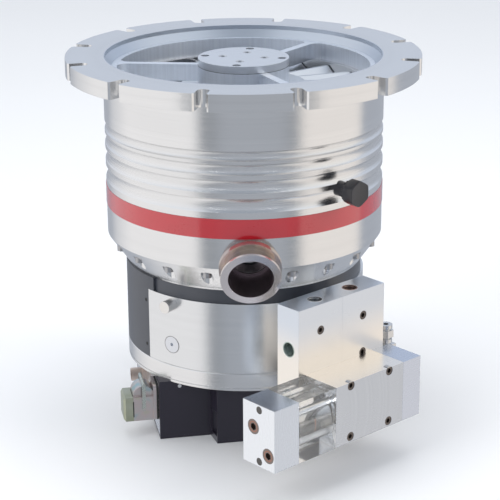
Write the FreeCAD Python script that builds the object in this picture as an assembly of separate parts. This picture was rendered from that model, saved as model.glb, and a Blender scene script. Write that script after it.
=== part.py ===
"""Turbomolecular pump with an ISO-F inlet, a KF fore-vacuum port and a side oil pump."""
import FreeCAD, Part
import math
import os

Vector = FreeCAD.Vector
UP = Vector(0, 0, 1)
ORIGIN = Vector(0, 0, 0)
FULL_TURN = 360.0
QUARTER_TURN = 90.0

# Lengths are in millimetres and angles in degrees. The origin is on the rotor's axis at the
# foot of the electronics box. The fore-vacuum port points along -Y, and a side angle is
# counted from there towards +X.

# Heights of the pieces that stand on each other, from the floor up
box_height = 59.0
base_plate_thickness = 6.0
base_body_height = 93.0
exhaust_height = 56.0
housing_height = 141.0

# Inlet flange of nominal width 250
flange_radius = 167.5
flange_thickness = 16.0
bolt_circle_radius = 155.0
bolt_slot_count = 12
bolt_slot_width = 11.0
bolt_slot_chamfer = 1.75
inlet_slope = 6.2
inlet_lip_depth = 4.0

# Ribbed pump housing
body_radius = 132.5
groove_depths_from_top = [64.5, 77.0, 92.5, 110.0]
groove_half_widths = [4.6, 5.2, 6.0, 6.6]
groove_depth = 2.6
band_height = 18.3
band_thickness = 1.0
band_proud = 0.5
overshoot = 1.0
housing_wall = 13.9
star_seat = 5.8

# Exhaust housing with its ring of bolt pockets
cone_height = 25.0
cone_step = 2.0
lip_height = 2.0
lip_step = 0.8
base_wall = 9.0
bolt_count = 20
bolt_edge = 8.0
bolt_radius = 2.5
bolt_head_radius = 4.25
bolt_head_height = 5.0
bolt_thread_depth = 14.0
bolt_tip_gap = 1.0
pocket_radius = 5.8
pocket_height = 21.0
seal_edge = 1.6
seal_section_radius = 0.85

# Base with its plate, cooling jacket and side cover
base_step = 19.5
base_floor_thickness = 35.0
jacket_thickness = 2.5
base_plate_rim_height = 11.4
foot_groove_height = 2.2
foot_groove_width = 0.9
jacket_height = 68.6
jacket_start = -54.0
jacket_end = 100.0
cover_step_angle = 4.0
tab_overlap = 1.0
seam_width = 1.2
centre_tube_radius = 46.0
centre_tube_height = 65.0
motor_bore_radius = 33.0
motor_seat = 31.0

# Inlet star that carries the upper bearing
star_depth = 11.0
star_height = 16.0
star_ring_width = 5.0
star_arm_count = 3
star_arm_angle = 53.0
star_arm_width = 8.0
arm_root = 1.0
star_foot_radius = 11.0
star_hub_radius = 43.0
star_hub_height = 17.0
cover_thickness = 7.0
cover_rim_hole_ring = 36.8
cover_rim_hole_radius = 4.0
cover_screw_ring = 20.0
cover_hole_angle = -12.0
cover_hole_count = 4

# Rotor and stator stages, from the inlet down
rotor_hub_radius = 60.0
blade_tip_gap = 1.6
stator_inner_radius = 62.5
stator_ring_width = 3.0
spacer_width = 4.4
rotor_stage_heights = [18.0, 14.0, 10.0, 8.0, 7.0]
stator_stage_heights = [12.0, 9.0, 6.0, 6.0]
rotor_blade_counts = [20, 24, 24, 28, 28]
stator_blade_counts = [20, 24, 24, 28]
rotor_blade_angles = [42.0, 35.0, 30.0, 25.0, 22.0]
stator_blade_angles = [40.0, 33.0, 28.0, 24.0]
blade_thickness = 2.2
blade_root = 0.8
stage_gap = 2.2
inlet_gap = 3.0
rotor_skirt_height = 10.0
bore_fit = 0.2

# Shaft, motor and bearings
shaft_radius = 12.0
journal_radius = 8.0
pin_radius = 7.0
pin_top_gap = 1.0
shaft_foot_gap = 3.0
journal_height = 30.0
motor_magnet_radius = 20.0
motor_gap = 1.0
motor_length = 54.0
winding_height = 8.0
winding_gap = 1.0
magnet_pocket_radius = 32.0
magnet_gap = 1.6
magnet_ring_width = 7.0
magnet_length = 30.0
star_tube_radius = 14.0
star_tube_bore = 9.0
star_tube_length = 38.0
safety_bearing_radius = 14.0
safety_bearing_height = 9.0
safety_gap = 0.25
bearing_seat_height = 12.0
bearing_width = 12.0
bearing_outer_radius = 21.0
ball_count = 9
ball_radius = 2.8
ball_ring_radius = 14.2
ball_play = 0.05
cage_width = 7.0
race_clearance = 0.6
oil_felt_height = 9.0
felt_clearance = 0.5

# Drag stage below the bladed stages
drum_wall = 4.0
drum_foot_gap = 3.0
drag_gap = 0.8
drag_sleeve_wall = 11.2
drag_sleeve_gap = 4.0
drag_sleeve_height = 100.0

# Fore-vacuum port of nominal width 40, tilted down
port_tilt = 19.0
port_reach = 17.5
port_face_lift = 24.0
port_flange_radius = 27.5
port_flange_thickness = 5.0
port_taper = 2.6
port_neck_radius = 23.2
port_collar_radius = 28.5
port_collar_thickness = 5.0
port_length = 19.0
port_bore_radius = 20.5
port_bore_depth = 30.0
port_inner_radius = 17.5
port_stub_radius = 22.2
port_stub_length = 32.0

# Hexagonal vent screw
vent_angle = 39.0
vent_depth = 103.8
vent_body_radius = 7.0
vent_body_reach = 9.0
vent_cap_across = 23.0
vent_cap_round = 12.5
vent_cap_grip = 6.0
vent_cap_length = 18.0
vent_stem_radius = 3.0
vent_stem_length = 14.0
vent_seal_length = 4.0
vent_bore_radius = 4.0
vent_inner_gap = 1.0
vent_seat_lip = 1.0
running_fit = 0.05

# Pin and plug on the cooling jacket
jacket_pin_angle = -38.4
jacket_pin_drop = 7.4
jacket_pin_radius = 5.75
jacket_pin_reach = 11.0
jacket_plug_angle = -38.8
jacket_plug_drop = 48.0
jacket_plug_radius = 8.5
jacket_plug_socket = 3.0
insert_depth = 2.0
side_screw_radius = 1.8
cover_screw_side = 2.2
cover_screw_inset = 12.0

# Electronics box, turned a little about the pump's axis
box_turn = 8.5
box_half_width = 97.5
box_front = 97.3
box_step_depth = 20.7
box_step_side = -45.8
box_step_slant = 3.1
box_wall = 4.0
box_lid_thickness = 2.5
panel_thickness = 2.5
channel_radius = 7.0
channel_place = 8.3
channel_bottom = 6.3
channel_top = 30.8
box_screw_radius = 2.6
box_screw_height = 53.5
front_screw_side = 81.0
recess_screw_side = 78.0
recess_screw_radius = 1.8
side_screw_place = 60.0
board_size = 150.0
board_thickness = 1.6
board_lift = 16.0
post_radius = 4.0
post_spacing = 130.0

# Connectors on the left panel of the box
power_side = -56.0
power_height = 29.5
power_width = 26.0
power_tall = 24.0
power_length = 22.0
gasket_thickness = 2.0
gasket_margin = 1.2
cap_length = 9.5
cap_chamfer = 2.0
power_wall = 3.0
power_round = 5.0
power_flange_thickness = 3.0
hood_radius = 10.0
hood_width = 20.0
lever_pivot_reach = 14.0
lever_length = 24.3
lever_thickness = 1.6
lever_width = 3.4
lever_bar_radius = 1.6
lever_pin_radius = 1.1
rest_gap = 0.3
data_side = 25.0
data_height = 26.0
data_radius = 6.6
data_length = 15.0
data_wall = 1.2
data_nut_across = 16.0
data_nut_length = 4.0

# Oil pump blocks beside the base, turned to face between the port and +X
block_turn = 40.0
pad_stand = 18.2
block_depth = 40.0
block_left = -148.7
block_bottom = 39.6
block_height = 58.3
end_block_length = 29.1
reservoir_length = 45.5
pump_block_length = 86.4
rear_end_length = 23.0
reservoir_bore_radius = 18.0
manifold_left = -81.7
manifold_width = 54.5
manifold_thickness = 27.5
manifold_bottom = 60.0
manifold_top = 160.5
pad_width = 50.0
pad_bottom = 84.0
pad_height = 54.0
pad_side = -27.0
pad_inner = -90.0
gas_port_radius = 6.6
gas_port_depth = 12.0
gas_port_side = 22.4
gas_port_inset = 13.0
side_port_height = 120.6
block_screw_radius = 4.25
block_screw_depth = 5.0
screw_socket_across = 4.0
screw_socket_depth = 2.5
screw_pattern_width = 49.3
screw_pattern_height = 49.4
screw_pattern_lift = 1.2
screw_sink = 0.4
manifold_screw_height = 135.8
low_screw_height = 99.7
end_plug_radius = 7.0
end_plug_depth = 6.0
end_plug_socket = 6.0
end_plug_socket_depth = 4.0
upper_plug_inset = 26.8
upper_plug_rise = 35.8
lower_plug_inset = 8.1
lower_plug_rise = 13.8
dowel_radius = 3.5
dowel_depth = 8.0
dowel_inset = 19.4
dowel_margin = 4.8
piston_radius = 5.0
piston_length = 18.0
piston_travel = 3.0

# Elbow fitting on the right side of the manifold
elbow_height = 85.0
elbow_reach = 17.5
elbow_size = 14.0
elbow_stub_radius = 5.0
elbow_nut_across = 13.0
elbow_nut_height = 7.0
elbow_ring_radius = 6.2
elbow_ring_height = 3.5
elbow_stem_radius = 4.4
elbow_stem_height = 1.8
elbow_bore_radius = 2.5

# Radii and reaches that follow from the sizes
base_radius = body_radius - base_step
skirt_radius = base_radius + jacket_thickness
lip_radius = base_radius + lip_step
cone_foot_radius = base_radius + cone_step
exhaust_bore_radius = base_radius - base_wall
drag_sleeve_radius = exhaust_bore_radius - drag_sleeve_gap
drum_radius = drag_sleeve_radius - drag_sleeve_wall - drag_gap
stack_bore_radius = body_radius - housing_wall
seal_ring_radius = stack_bore_radius + seal_edge
bolt_ring_radius = body_radius - bolt_edge
spacer_inner_radius = stack_bore_radius - spacer_width
rotor_tip_radius = spacer_inner_radius - blade_tip_gap
star_bore_radius = stack_bore_radius + star_seat
star_ring_radius = star_bore_radius - star_ring_width
inlet_radius = star_bore_radius + inlet_slope
port_face_reach = body_radius + port_reach
block_front = skirt_radius + pad_stand + manifold_thickness + block_depth

# Levels that follow from the heights
box_top = box_height
base_foot = box_top + base_plate_thickness
base_top = base_foot + base_body_height
exhaust_top = base_top + exhaust_height
flange_top = exhaust_top + housing_height
flange_foot = flange_top - flange_thickness
base_floor = base_foot + base_floor_thickness
star_top = flange_top - star_depth
star_foot = star_top - star_height
cone_foot = base_top + lip_height
cone_top = cone_foot + cone_height
first_blade_top = star_foot - inlet_gap
motor_floor = base_foot + motor_seat
bearing_bottom = base_foot + bearing_seat_height
shaft_foot = base_foot + shaft_foot_gap
vent_height = flange_top - vent_depth
plate_rim_top = base_foot + base_plate_rim_height
jacket_top = plate_rim_top + jacket_height


def disc(radius, bottom, top):
    """A solid cylinder on the pump's axis between two heights."""
    return Part.makeCylinder(radius, top - bottom, Vector(0, 0, bottom))


def ring(outer, inner, bottom, top):
    """A tube on the pump's axis between two heights."""
    return disc(outer, bottom, top).cut(disc(inner, bottom, top))


def turned(shape, angle):
    """A copy of a shape turned about the pump's axis."""
    copy = shape.copy()
    copy.rotate(ORIGIN, UP, angle)
    return copy


def spread(shape, count):
    """Evenly spaced copies of a shape around the pump's axis."""
    return [turned(shape, FULL_TURN * step / count) for step in range(count)]


def revolved(points):
    """A solid of revolution from an outline given as radius and height pairs."""
    outline = [Vector(radius, 0, height) for radius, height in points]
    outline.append(outline[0])
    return Part.Face(Part.makePolygon(outline)).revolve(ORIGIN, UP, FULL_TURN)


def block(x_low, x_high, y_low, y_high, z_low, z_high):
    """A box between two corners."""
    corner = Vector(x_low, y_low, z_low)
    return Part.makeBox(x_high - x_low, y_high - y_low, z_high - z_low, corner)


def rod(start, direction, radius, length):
    """A cylinder from a point along a direction."""
    return Part.makeCylinder(radius, length, start, direction)


def hexagon(start, direction, across, length):
    """A hexagonal prism from a point along a direction."""
    corner_radius = across / math.sqrt(3)
    corners = []
    for step in range(7):
        angle = math.radians(FULL_TURN * step / 6)
        corners.append(Vector(corner_radius * math.cos(angle), corner_radius * math.sin(angle), 0))
    prism = Part.Face(Part.makePolygon(corners)).extrude(Vector(0, 0, length))
    turn = FreeCAD.Rotation(UP, direction)
    prism.Placement = FreeCAD.Placement(start, turn)
    return prism


def outward(angle):
    """The level direction that a side angle points in."""
    return Vector(math.sin(math.radians(angle)), -math.cos(math.radians(angle)), 0)


def on_side(angle, reach, height):
    """A point at a side angle, a distance from the axis and a height."""
    return outward(angle) * reach + Vector(0, 0, height)


def sector(outer, inner, start, end, bottom, top):
    """Part of a tube between two side angles."""
    outline = Part.Face(Part.makePolygon([
        Vector(inner, 0, bottom),
        Vector(outer, 0, bottom),
        Vector(outer, 0, top),
        Vector(inner, 0, top),
        Vector(inner, 0, bottom),
    ]))
    return turned(outline.revolve(ORIGIN, UP, end - start), start - QUARTER_TURN)


def save(name, shape):
    """Write one sub-part, checked for closed solids."""
    solids = shape.Solids
    if not solids or not shape.isValid():
        raise ValueError("bad solid in " + name)
    Part.makeCompound(solids).exportStep("parts/" + name + ".step")


def housing_outline():
    """Half section of the ribbed housing as a closed wire, with a cove for each groove."""
    band_seat = body_radius + band_proud - band_thickness
    corners = [
        Vector(stack_bore_radius, 0, exhaust_top),
        Vector(band_seat, 0, exhaust_top),
        Vector(band_seat, 0, exhaust_top + band_height),
        Vector(body_radius, 0, exhaust_top + band_height),
    ]
    edges = [Part.LineSegment(a, b).toShape() for a, b in zip(corners, corners[1:])]
    last = corners[-1]
    for depth, half_width in reversed(list(zip(groove_depths_from_top, groove_half_widths))):
        centre = flange_top - depth
        low = Vector(body_radius, 0, centre - half_width)
        deep = Vector(body_radius - groove_depth, 0, centre)
        high = Vector(body_radius, 0, centre + half_width)
        edges.append(Part.LineSegment(last, low).toShape())
        edges.append(Part.Arc(low, deep, high).toShape())
        last = high
    inlet_floor = flange_top - inlet_lip_depth
    rim = [
        last,
        Vector(body_radius, 0, flange_foot),
        Vector(flange_radius, 0, flange_foot),
        Vector(flange_radius, 0, flange_top),
        Vector(inlet_radius, 0, flange_top),
        Vector(inlet_radius, 0, inlet_floor),
        Vector(star_bore_radius, 0, star_top),
        Vector(star_bore_radius, 0, star_foot),
        Vector(stack_bore_radius, 0, star_foot),
        corners[0],
    ]
    edges += [Part.LineSegment(a, b).toShape() for a, b in zip(rim, rim[1:])]
    return Part.Wire(edges)


def bolt_slot():
    """One open bolt slot of the inlet flange, pointing along the port's direction."""
    half = bolt_slot_width / 2
    mouth = half + bolt_slot_chamfer
    outer = flange_radius + overshoot
    shoulder = math.sqrt(flange_radius ** 2 - mouth ** 2) - bolt_slot_chamfer
    side = [
        Vector(half, -bolt_circle_radius, 0),
        Vector(half, -shoulder, 0),
        Vector(mouth, -shoulder - bolt_slot_chamfer, 0),
        Vector(mouth, -outer, 0),
    ]
    other = [Vector(-point.x, point.y, 0) for point in reversed(side)]
    path = side + other
    edges = [Part.LineSegment(a, b).toShape() for a, b in zip(path, path[1:])]
    top_of_arc = Vector(0, -bolt_circle_radius + half, 0)
    edges.append(Part.Arc(path[-1], top_of_arc, path[0]).toShape())
    cutter = Part.Face(Part.Wire(edges)).extrude(Vector(0, 0, flange_thickness))
    cutter.translate(Vector(0, 0, flange_foot))
    return cutter


def bolt_places(shape):
    """Copies of a shape at every housing bolt; the place behind the port stays free."""
    return spread(shape, bolt_count)[1:]


def pump_housing():
    """Flanged housing with open bolt slots, coved grooves, a band seat and threaded holes."""
    shell = Part.Face(housing_outline()).revolve(ORIGIN, UP, FULL_TURN)
    half_step = FULL_TURN / bolt_slot_count / 2
    slots = [turned(slot, half_step) for slot in spread(bolt_slot(), bolt_slot_count)]
    hole = rod(Vector(0, -bolt_ring_radius, exhaust_top), UP, bolt_radius, bolt_thread_depth)
    holes = bolt_places(hole)
    valve = vent_bore(vent_body_radius, stack_bore_radius - overshoot)
    return shell.cut(slots + holes + [valve])


def colour_band():
    """Plain coloured band seated round the foot of the housing."""
    outer = body_radius + band_proud
    return ring(outer, outer - band_thickness, exhaust_top, exhaust_top + band_height)


def port_direction():
    """The way that the fore-vacuum port points: outwards and down."""
    tilt = math.radians(port_tilt)
    return Vector(0, -math.cos(tilt), -math.sin(tilt))


def port_point(depth):
    """A point on the port's axis, a depth behind its face."""
    return Vector(0, -port_face_reach, base_top + port_face_lift) - port_direction() * depth


def port_turned(points):
    """A solid of revolution about the port's axis from radius and depth pairs."""
    outline = [Vector(radius, 0, depth) for radius, depth in points]
    outline.append(outline[0])
    solid = Part.Face(Part.makePolygon(outline)).revolve(ORIGIN, UP, FULL_TURN)
    solid.Placement = FreeCAD.Placement(port_point(0), FreeCAD.Rotation(UP, port_direction() * -1))
    return solid


def pocket_roof():
    """The level of the ceiling that the bolt heads bear against."""
    return base_top + pocket_height


def exhaust_housing():
    """Conical lower housing with bolt pockets, a seal groove and the socket of the port."""
    shell = revolved([
        (exhaust_bore_radius, base_top),
        (lip_radius, base_top),
        (cone_foot_radius, cone_foot),
        (body_radius, cone_top),
        (body_radius, exhaust_top),
        (exhaust_bore_radius, exhaust_top),
    ])
    start = Vector(0, -bolt_ring_radius, base_top)
    pocket = rod(start, UP, pocket_radius, pocket_height)
    hole = rod(start, UP, bolt_radius + bore_fit, exhaust_height)
    shell = shell.cut(bolt_places(pocket) + bolt_places(hole))
    groove = ring(
        seal_ring_radius + seal_section_radius,
        seal_ring_radius - seal_section_radius,
        exhaust_top - 2 * seal_section_radius,
        exhaust_top,
    )
    back = port_direction() * -1
    collar_seat = rod(port_point(0), back, port_collar_radius, port_length)
    socket = rod(port_point(0), back, port_stub_radius, port_stub_length)
    bore = rod(port_point(port_length), back, port_inner_radius, 2 * port_stub_length)
    return shell.cut([groove, collar_seat, socket, bore])


def housing_seal():
    """Round seal in the groove of the exhaust housing."""
    height = exhaust_top - seal_section_radius
    return Part.makeTorus(seal_ring_radius, seal_section_radius, Vector(0, 0, height))


def housing_bolts():
    """Cap screws that hang in the pockets and reach up into the housing."""
    head_centre = Vector(0, -bolt_ring_radius, pocket_roof() - bolt_head_height)
    head = rod(head_centre, UP, bolt_head_radius, bolt_head_height)
    shank_length = exhaust_top + bolt_thread_depth - bolt_tip_gap - pocket_roof()
    shank = rod(Vector(0, -bolt_ring_radius, pocket_roof()), UP, bolt_radius, shank_length)
    socket = hexagon(head_centre, UP, screw_socket_across, screw_socket_depth)
    bolt = head.fuse(shank).cut(socket)
    return Part.makeCompound(bolt_places(bolt))


def foreline_port():
    """Tilted port: small flange with its tapered back, neck, collar, stub and stepped bore."""
    taper_end = port_flange_thickness - port_taper
    collar_start = port_length - port_collar_thickness
    outside = [
        (0, 0),
        (port_flange_radius, 0),
        (port_flange_radius, taper_end),
        (port_neck_radius, port_flange_thickness),
        (port_neck_radius, collar_start),
        (port_collar_radius, collar_start),
        (port_collar_radius, port_length),
        (port_stub_radius, port_length),
        (port_stub_radius, port_stub_length),
        (0, port_stub_length),
    ]
    bore = rod(port_point(0), port_direction() * -1, port_bore_radius, port_bore_depth)
    neck_bore = rod(port_point(0), port_direction() * -1, port_inner_radius, 2 * port_stub_length)
    return port_turned(outside).cut([bore, neck_bore])


def base_body():
    """Dark base with a thick floor, an outer wall and the tube that holds the motor."""
    tube_top = base_floor + centre_tube_height
    shell = revolved([
        (bearing_outer_radius, base_foot),
        (base_radius, base_foot),
        (base_radius, base_top),
        (exhaust_bore_radius, base_top),
        (exhaust_bore_radius, base_floor),
        (centre_tube_radius, base_floor),
        (centre_tube_radius, tube_top),
        (motor_bore_radius, tube_top),
        (motor_bore_radius, motor_floor),
        (bearing_outer_radius, motor_floor),
    ])
    return shell


def base_plate():
    """Bright foot ring: a plate under the base with a grooved rim that stands up round it."""
    return revolved([
        (felt_bore(), box_top),
        (skirt_radius, box_top),
        (skirt_radius, box_top + foot_groove_height),
        (skirt_radius - foot_groove_width, box_top + foot_groove_height),
        (skirt_radius - foot_groove_width, box_top + foot_groove_height + foot_groove_width),
        (skirt_radius, box_top + foot_groove_height + foot_groove_width),
        (skirt_radius, plate_rim_top - seam_width),
        (skirt_radius - seam_width, plate_rim_top),
        (base_radius, plate_rim_top),
        (base_radius, base_foot),
        (felt_bore(), base_foot),
    ])


def felt_bore():
    """Hole in the base plate for the tip of the shaft and its oil wick."""
    return journal_radius + felt_clearance


def cooling_jacket():
    """Bright cooling jacket wrapped round the front of the base, with rounded corners."""
    wrap = sector(skirt_radius, base_radius, jacket_start, jacket_end, plate_rim_top, jacket_top)
    pin = jacket_hole(jacket_pin_angle, jacket_top - jacket_pin_drop, jacket_pin_radius)
    plug = jacket_hole(jacket_plug_angle, jacket_top - jacket_plug_drop, jacket_plug_radius)
    return wrap.cut([pin, plug])


def jacket_hole(angle, height, radius):
    """A radial hole through the jacket and a little into the base."""
    return rod(on_side(angle, base_radius - insert_depth, height), outward(angle), radius, jacket_pin_reach)


def jacket_pin():
    """Round pin that stands out of the jacket near its upper corner."""
    return jacket_insert(jacket_pin_angle, jacket_top - jacket_pin_drop, jacket_pin_radius, jacket_pin_reach)


def jacket_plug():
    """Flush round plug with a small hexagonal socket, low on the jacket."""
    plug = jacket_insert(jacket_plug_angle, jacket_top - jacket_plug_drop, jacket_plug_radius, 0.0)
    mouth = on_side(jacket_plug_angle, skirt_radius - insert_depth, jacket_top - jacket_plug_drop)
    return plug.cut(hexagon(mouth, outward(jacket_plug_angle), jacket_plug_socket, jacket_pin_reach))


def jacket_insert(angle, height, radius, reach):
    """A radial cylinder seated in a hole of the jacket."""
    length = skirt_radius - base_radius + reach
    return rod(on_side(angle, base_radius, height), outward(angle), radius, length)


def side_cover():
    """Dark cover round the rest of the base, with a step over the jacket's corner."""
    low = sector(skirt_radius, base_radius, jacket_end, FULL_TURN + jacket_start, plate_rim_top, base_top)
    tab_end = jacket_start + cover_step_angle
    tab = sector(skirt_radius, base_radius, jacket_start - tab_overlap, tab_end, jacket_top, base_top)
    return low.fuse(tab).cut(cover_screw_rods_out(skirt_radius))


def cover_screw_places():
    """Points and directions of the screws along both upright edges of the side cover."""
    places = []
    for angle in (jacket_start - cover_screw_side, jacket_end + cover_screw_side):
        for height in (plate_rim_top + cover_screw_inset, jacket_top - cover_screw_inset):
            places.append((on_side(angle, skirt_radius, height), outward(angle)))
    return places


def cover_screw_rods_out(length):
    """Rods from the base outwards at the places of the side cover's screws."""
    depth = skirt_radius - base_radius
    places = cover_screw_places()
    return [rod(point - way * depth, way, side_screw_radius, length) for point, way in places]


def small_screws():
    """Small screws of the side cover and of the electronics box."""
    return Part.makeCompound(cover_screw_rods_out(skirt_radius - base_radius) + box_screw_rods())


def star_arm():
    """One arm of the inlet star, flared by a quarter round where it meets the ring."""
    half = star_arm_width / 2
    wide = half + star_foot_radius
    inner = math.sqrt(star_hub_radius ** 2 - half ** 2) - arm_root
    reach = math.sqrt((star_ring_radius + arm_root) ** 2 - wide ** 2)
    bend = reach - star_foot_radius
    slant = star_foot_radius * math.sqrt(0.5)
    middle_x = bend + slant
    middle_y = wide - slant
    edges = [
        Part.LineSegment(Vector(inner, half, 0), Vector(inner, -half, 0)).toShape(),
        Part.LineSegment(Vector(inner, -half, 0), Vector(bend, -half, 0)).toShape(),
        Part.Arc(Vector(bend, -half, 0), Vector(middle_x, -middle_y, 0), Vector(reach, -wide, 0)).toShape(),
        Part.LineSegment(Vector(reach, -wide, 0), Vector(reach, wide, 0)).toShape(),
        Part.Arc(Vector(reach, wide, 0), Vector(middle_x, middle_y, 0), Vector(bend, half, 0)).toShape(),
        Part.LineSegment(Vector(bend, half, 0), Vector(inner, half, 0)).toShape(),
    ]
    arm = Part.Face(Part.Wire(edges)).extrude(Vector(0, 0, star_height))
    arm.translate(Vector(0, 0, star_foot))
    return turned(arm, star_arm_angle)


def bearing_star():
    """Inlet star: outer ring, flared arms, hub and the tube that carries the magnet rings."""
    rim = ring(star_bore_radius, star_ring_radius, star_foot, star_top)
    hub_foot = star_top - star_hub_height
    hub = disc(star_hub_radius, hub_foot, star_top)
    tube = disc(star_tube_radius, hub_foot - star_tube_length, hub_foot)
    arms = spread(star_arm(), star_arm_count)
    star = rim.multiFuse(arms + [hub, tube])
    seat_foot = star_top - safety_bearing_height
    bore = disc(star_tube_bore, hub_foot - star_tube_length, star_top)
    seat = disc(safety_bearing_radius, seat_foot, star_top)
    return star.cut([bore, seat] + cover_screw_rods(star_top - bolt_thread_depth, star_top, bolt_radius))


def cover_screw_rods(bottom, top, radius):
    """Upright cylinders at the places of the hub cover's screws."""
    angle = math.radians(cover_hole_angle)
    place = Vector(cover_screw_ring * math.cos(angle), cover_screw_ring * math.sin(angle), bottom)
    return spread(rod(place, UP, radius, top - bottom), cover_hole_count)


def hub_cover():
    """Round cover on the star's hub with rim holes and countersunk screw seats."""
    top = star_top + cover_thickness
    plate = disc(star_hub_radius, star_top, top)
    rim_hole = rod(Vector(cover_rim_hole_ring, 0, star_top), UP, cover_rim_hole_radius, cover_thickness)
    rim_hole = turned(rim_hole, cover_hole_angle)
    heads = cover_screw_rods(top - bolt_head_height, top, bolt_head_radius)
    shanks = cover_screw_rods(star_top, top, bolt_radius)
    return plate.cut(spread(rim_hole, cover_hole_count) + heads + shanks)


def hub_cover_screws():
    """Cap screws of the hub cover."""
    head_top = star_top + cover_thickness - screw_sink
    head_foot = star_top + cover_thickness - bolt_head_height
    heads = cover_screw_rods(head_foot, head_top, bolt_head_radius)
    shanks = cover_screw_rods(star_top - bolt_thread_depth + bolt_tip_gap, head_foot, bolt_radius)
    socket = cover_screw_rods(head_top - screw_socket_depth, head_top, screw_socket_across / 2)
    screws = [head.fuse(shank).cut(hole) for head, shank, hole in zip(heads, shanks, socket)]
    return Part.makeCompound(screws)


def safety_bearing():
    """Upper safety bearing: a ring with play round the rotor's pin."""
    foot = star_top - safety_bearing_height
    return ring(safety_bearing_radius, pin_radius + safety_gap, foot, star_top)


def magnet_foot():
    """The level of the magnet rings' lower faces."""
    return star_top - star_hub_height - star_tube_length


def stator_magnets():
    """Fixed magnet rings on the star's tube."""
    outer = star_tube_radius + magnet_ring_width
    return ring(outer, star_tube_radius, magnet_foot(), magnet_foot() + magnet_length)


def rotor_magnets():
    """Turning magnet rings in the pocket of the rotor."""
    inner = star_tube_radius + magnet_ring_width + magnet_gap
    return ring(magnet_pocket_radius, inner, magnet_foot(), magnet_foot() + magnet_length)


def stage_levels():
    """The foot and head of each rotor stage and of each stator stage."""
    rotor_levels = []
    stator_levels = []
    level = first_blade_top
    for step, height in enumerate(rotor_stage_heights):
        rotor_levels.append((level - height, level))
        level -= height + stage_gap
        if step < len(stator_stage_heights):
            stator_levels.append((level - stator_stage_heights[step], level))
            level -= stator_stage_heights[step] + stage_gap
    return rotor_levels, stator_levels


def blade(inner, outer, bottom, top, angle):
    """A flat blade that reaches outwards, pitched by an angle from the level."""
    lean = (top - bottom) / math.tan(math.radians(angle)) / 2
    half = blade_thickness / math.sin(math.radians(abs(angle))) / 2
    corners = [
        Vector(inner, -lean - half, bottom),
        Vector(inner, -lean + half, bottom),
        Vector(inner, lean + half, top),
        Vector(inner, lean - half, top),
    ]
    corners.append(corners[0])
    return Part.Face(Part.makePolygon(corners)).extrude(Vector(outer - inner, 0, 0))


def rotor():
    """Bladed rotor in one piece: hub, skirt for the drag drum and all rows of blades."""
    rotor_levels = stage_levels()[0]
    skirt_foot = rotor_levels[-1][0] - rotor_skirt_height
    head = first_blade_top
    hub = revolved([
        (shaft_radius, skirt_foot),
        (drum_radius - drum_wall, skirt_foot),
        (drum_radius - drum_wall, rotor_levels[-1][0] - stage_gap),
        (rotor_hub_radius, rotor_levels[-1][0]),
        (rotor_hub_radius, head),
        (magnet_pocket_radius, head),
        (magnet_pocket_radius, magnet_foot()),
        (shaft_radius, magnet_foot()),
    ])
    blades = []
    for (bottom, top), count, angle in zip(rotor_levels, rotor_blade_counts, rotor_blade_angles):
        blades += spread(blade(rotor_hub_radius - blade_root, rotor_tip_radius, bottom, top, angle), count)
    return hub.multiFuse(blades)


def stator_disc(step):
    """One bladed stator disc between an inner ring and a rim."""
    bottom, top = stage_levels()[1][step]
    inner_ring = ring(stator_inner_radius + stator_ring_width, stator_inner_radius, bottom, top)
    rim = ring(stack_bore_radius, spacer_inner_radius, bottom, top)
    inner = stator_inner_radius + blade_root
    outer = spacer_inner_radius + blade_root
    one = blade(inner, outer, bottom, top, -stator_blade_angles[step])
    return rim.multiFuse([inner_ring] + spread(one, stator_blade_counts[step]))


def spacer_rings():
    """Plain rings that hold the stator discs apart."""
    edges = [star_foot]
    for bottom, top in stage_levels()[1]:
        edges += [top, bottom]
    edges.append(exhaust_top)
    rings = []
    for step in range(0, len(edges), 2):
        rings.append(ring(stack_bore_radius, spacer_inner_radius, edges[step + 1], edges[step]))
    return Part.makeCompound(rings)


def rotor_shaft():
    """Stepped shaft with the journal below and the safety pin above."""
    return revolved([
        (0, shaft_foot),
        (journal_radius, shaft_foot),
        (journal_radius, shaft_foot + journal_height),
        (shaft_radius, shaft_foot + journal_height),
        (shaft_radius, magnet_foot()),
        (pin_radius, magnet_foot()),
        (pin_radius, star_top - pin_top_gap),
        (0, star_top - pin_top_gap),
    ])


def drag_drum():
    """Thin drum of the drag stage, hung on the rotor's skirt."""
    bottom = base_floor + drum_foot_gap
    top = stage_levels()[0][-1][0] - stage_gap
    return ring(drum_radius, drum_radius - drum_wall, bottom, top)


def drag_stator():
    """Fixed sleeve round the drum."""
    return ring(drag_sleeve_radius, drum_radius + drag_gap, base_floor, base_floor + drag_sleeve_height)


def motor_middle():
    """The foot of the motor's iron, above the lower winding."""
    return motor_floor + winding_height


def motor_magnet():
    """Magnet sleeve of the motor on the shaft."""
    return ring(motor_magnet_radius, shaft_radius, motor_middle(), motor_middle() + motor_length)


def motor_stator():
    """Laminated iron of the motor in the centre tube."""
    return ring(
        motor_bore_radius,
        motor_magnet_radius + motor_gap,
        motor_middle(),
        motor_middle() + motor_length,
    )


def motor_windings():
    """End windings below and above the motor's iron."""
    inner = motor_magnet_radius + motor_gap
    low = ring(motor_bore_radius, inner, motor_floor, motor_middle())
    high_foot = motor_middle() + motor_length
    high = ring(motor_bore_radius - winding_gap, inner, high_foot, high_foot + winding_height)
    return Part.makeCompound([low, high])


def bearing_outer_ring():
    """Outer ring of the lower ball bearing."""
    inner = ball_ring_radius + ball_radius + ball_play
    return ring(bearing_outer_radius, inner, bearing_bottom, bearing_bottom + bearing_width)


def bearing_inner_ring():
    """Inner ring of the lower ball bearing."""
    outer = ball_ring_radius - ball_radius - ball_play
    return ring(outer, journal_radius, bearing_bottom, bearing_bottom + bearing_width)


def ball_centre():
    """The centre of the first ball."""
    return Vector(ball_ring_radius, 0, bearing_bottom + bearing_width / 2)


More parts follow.
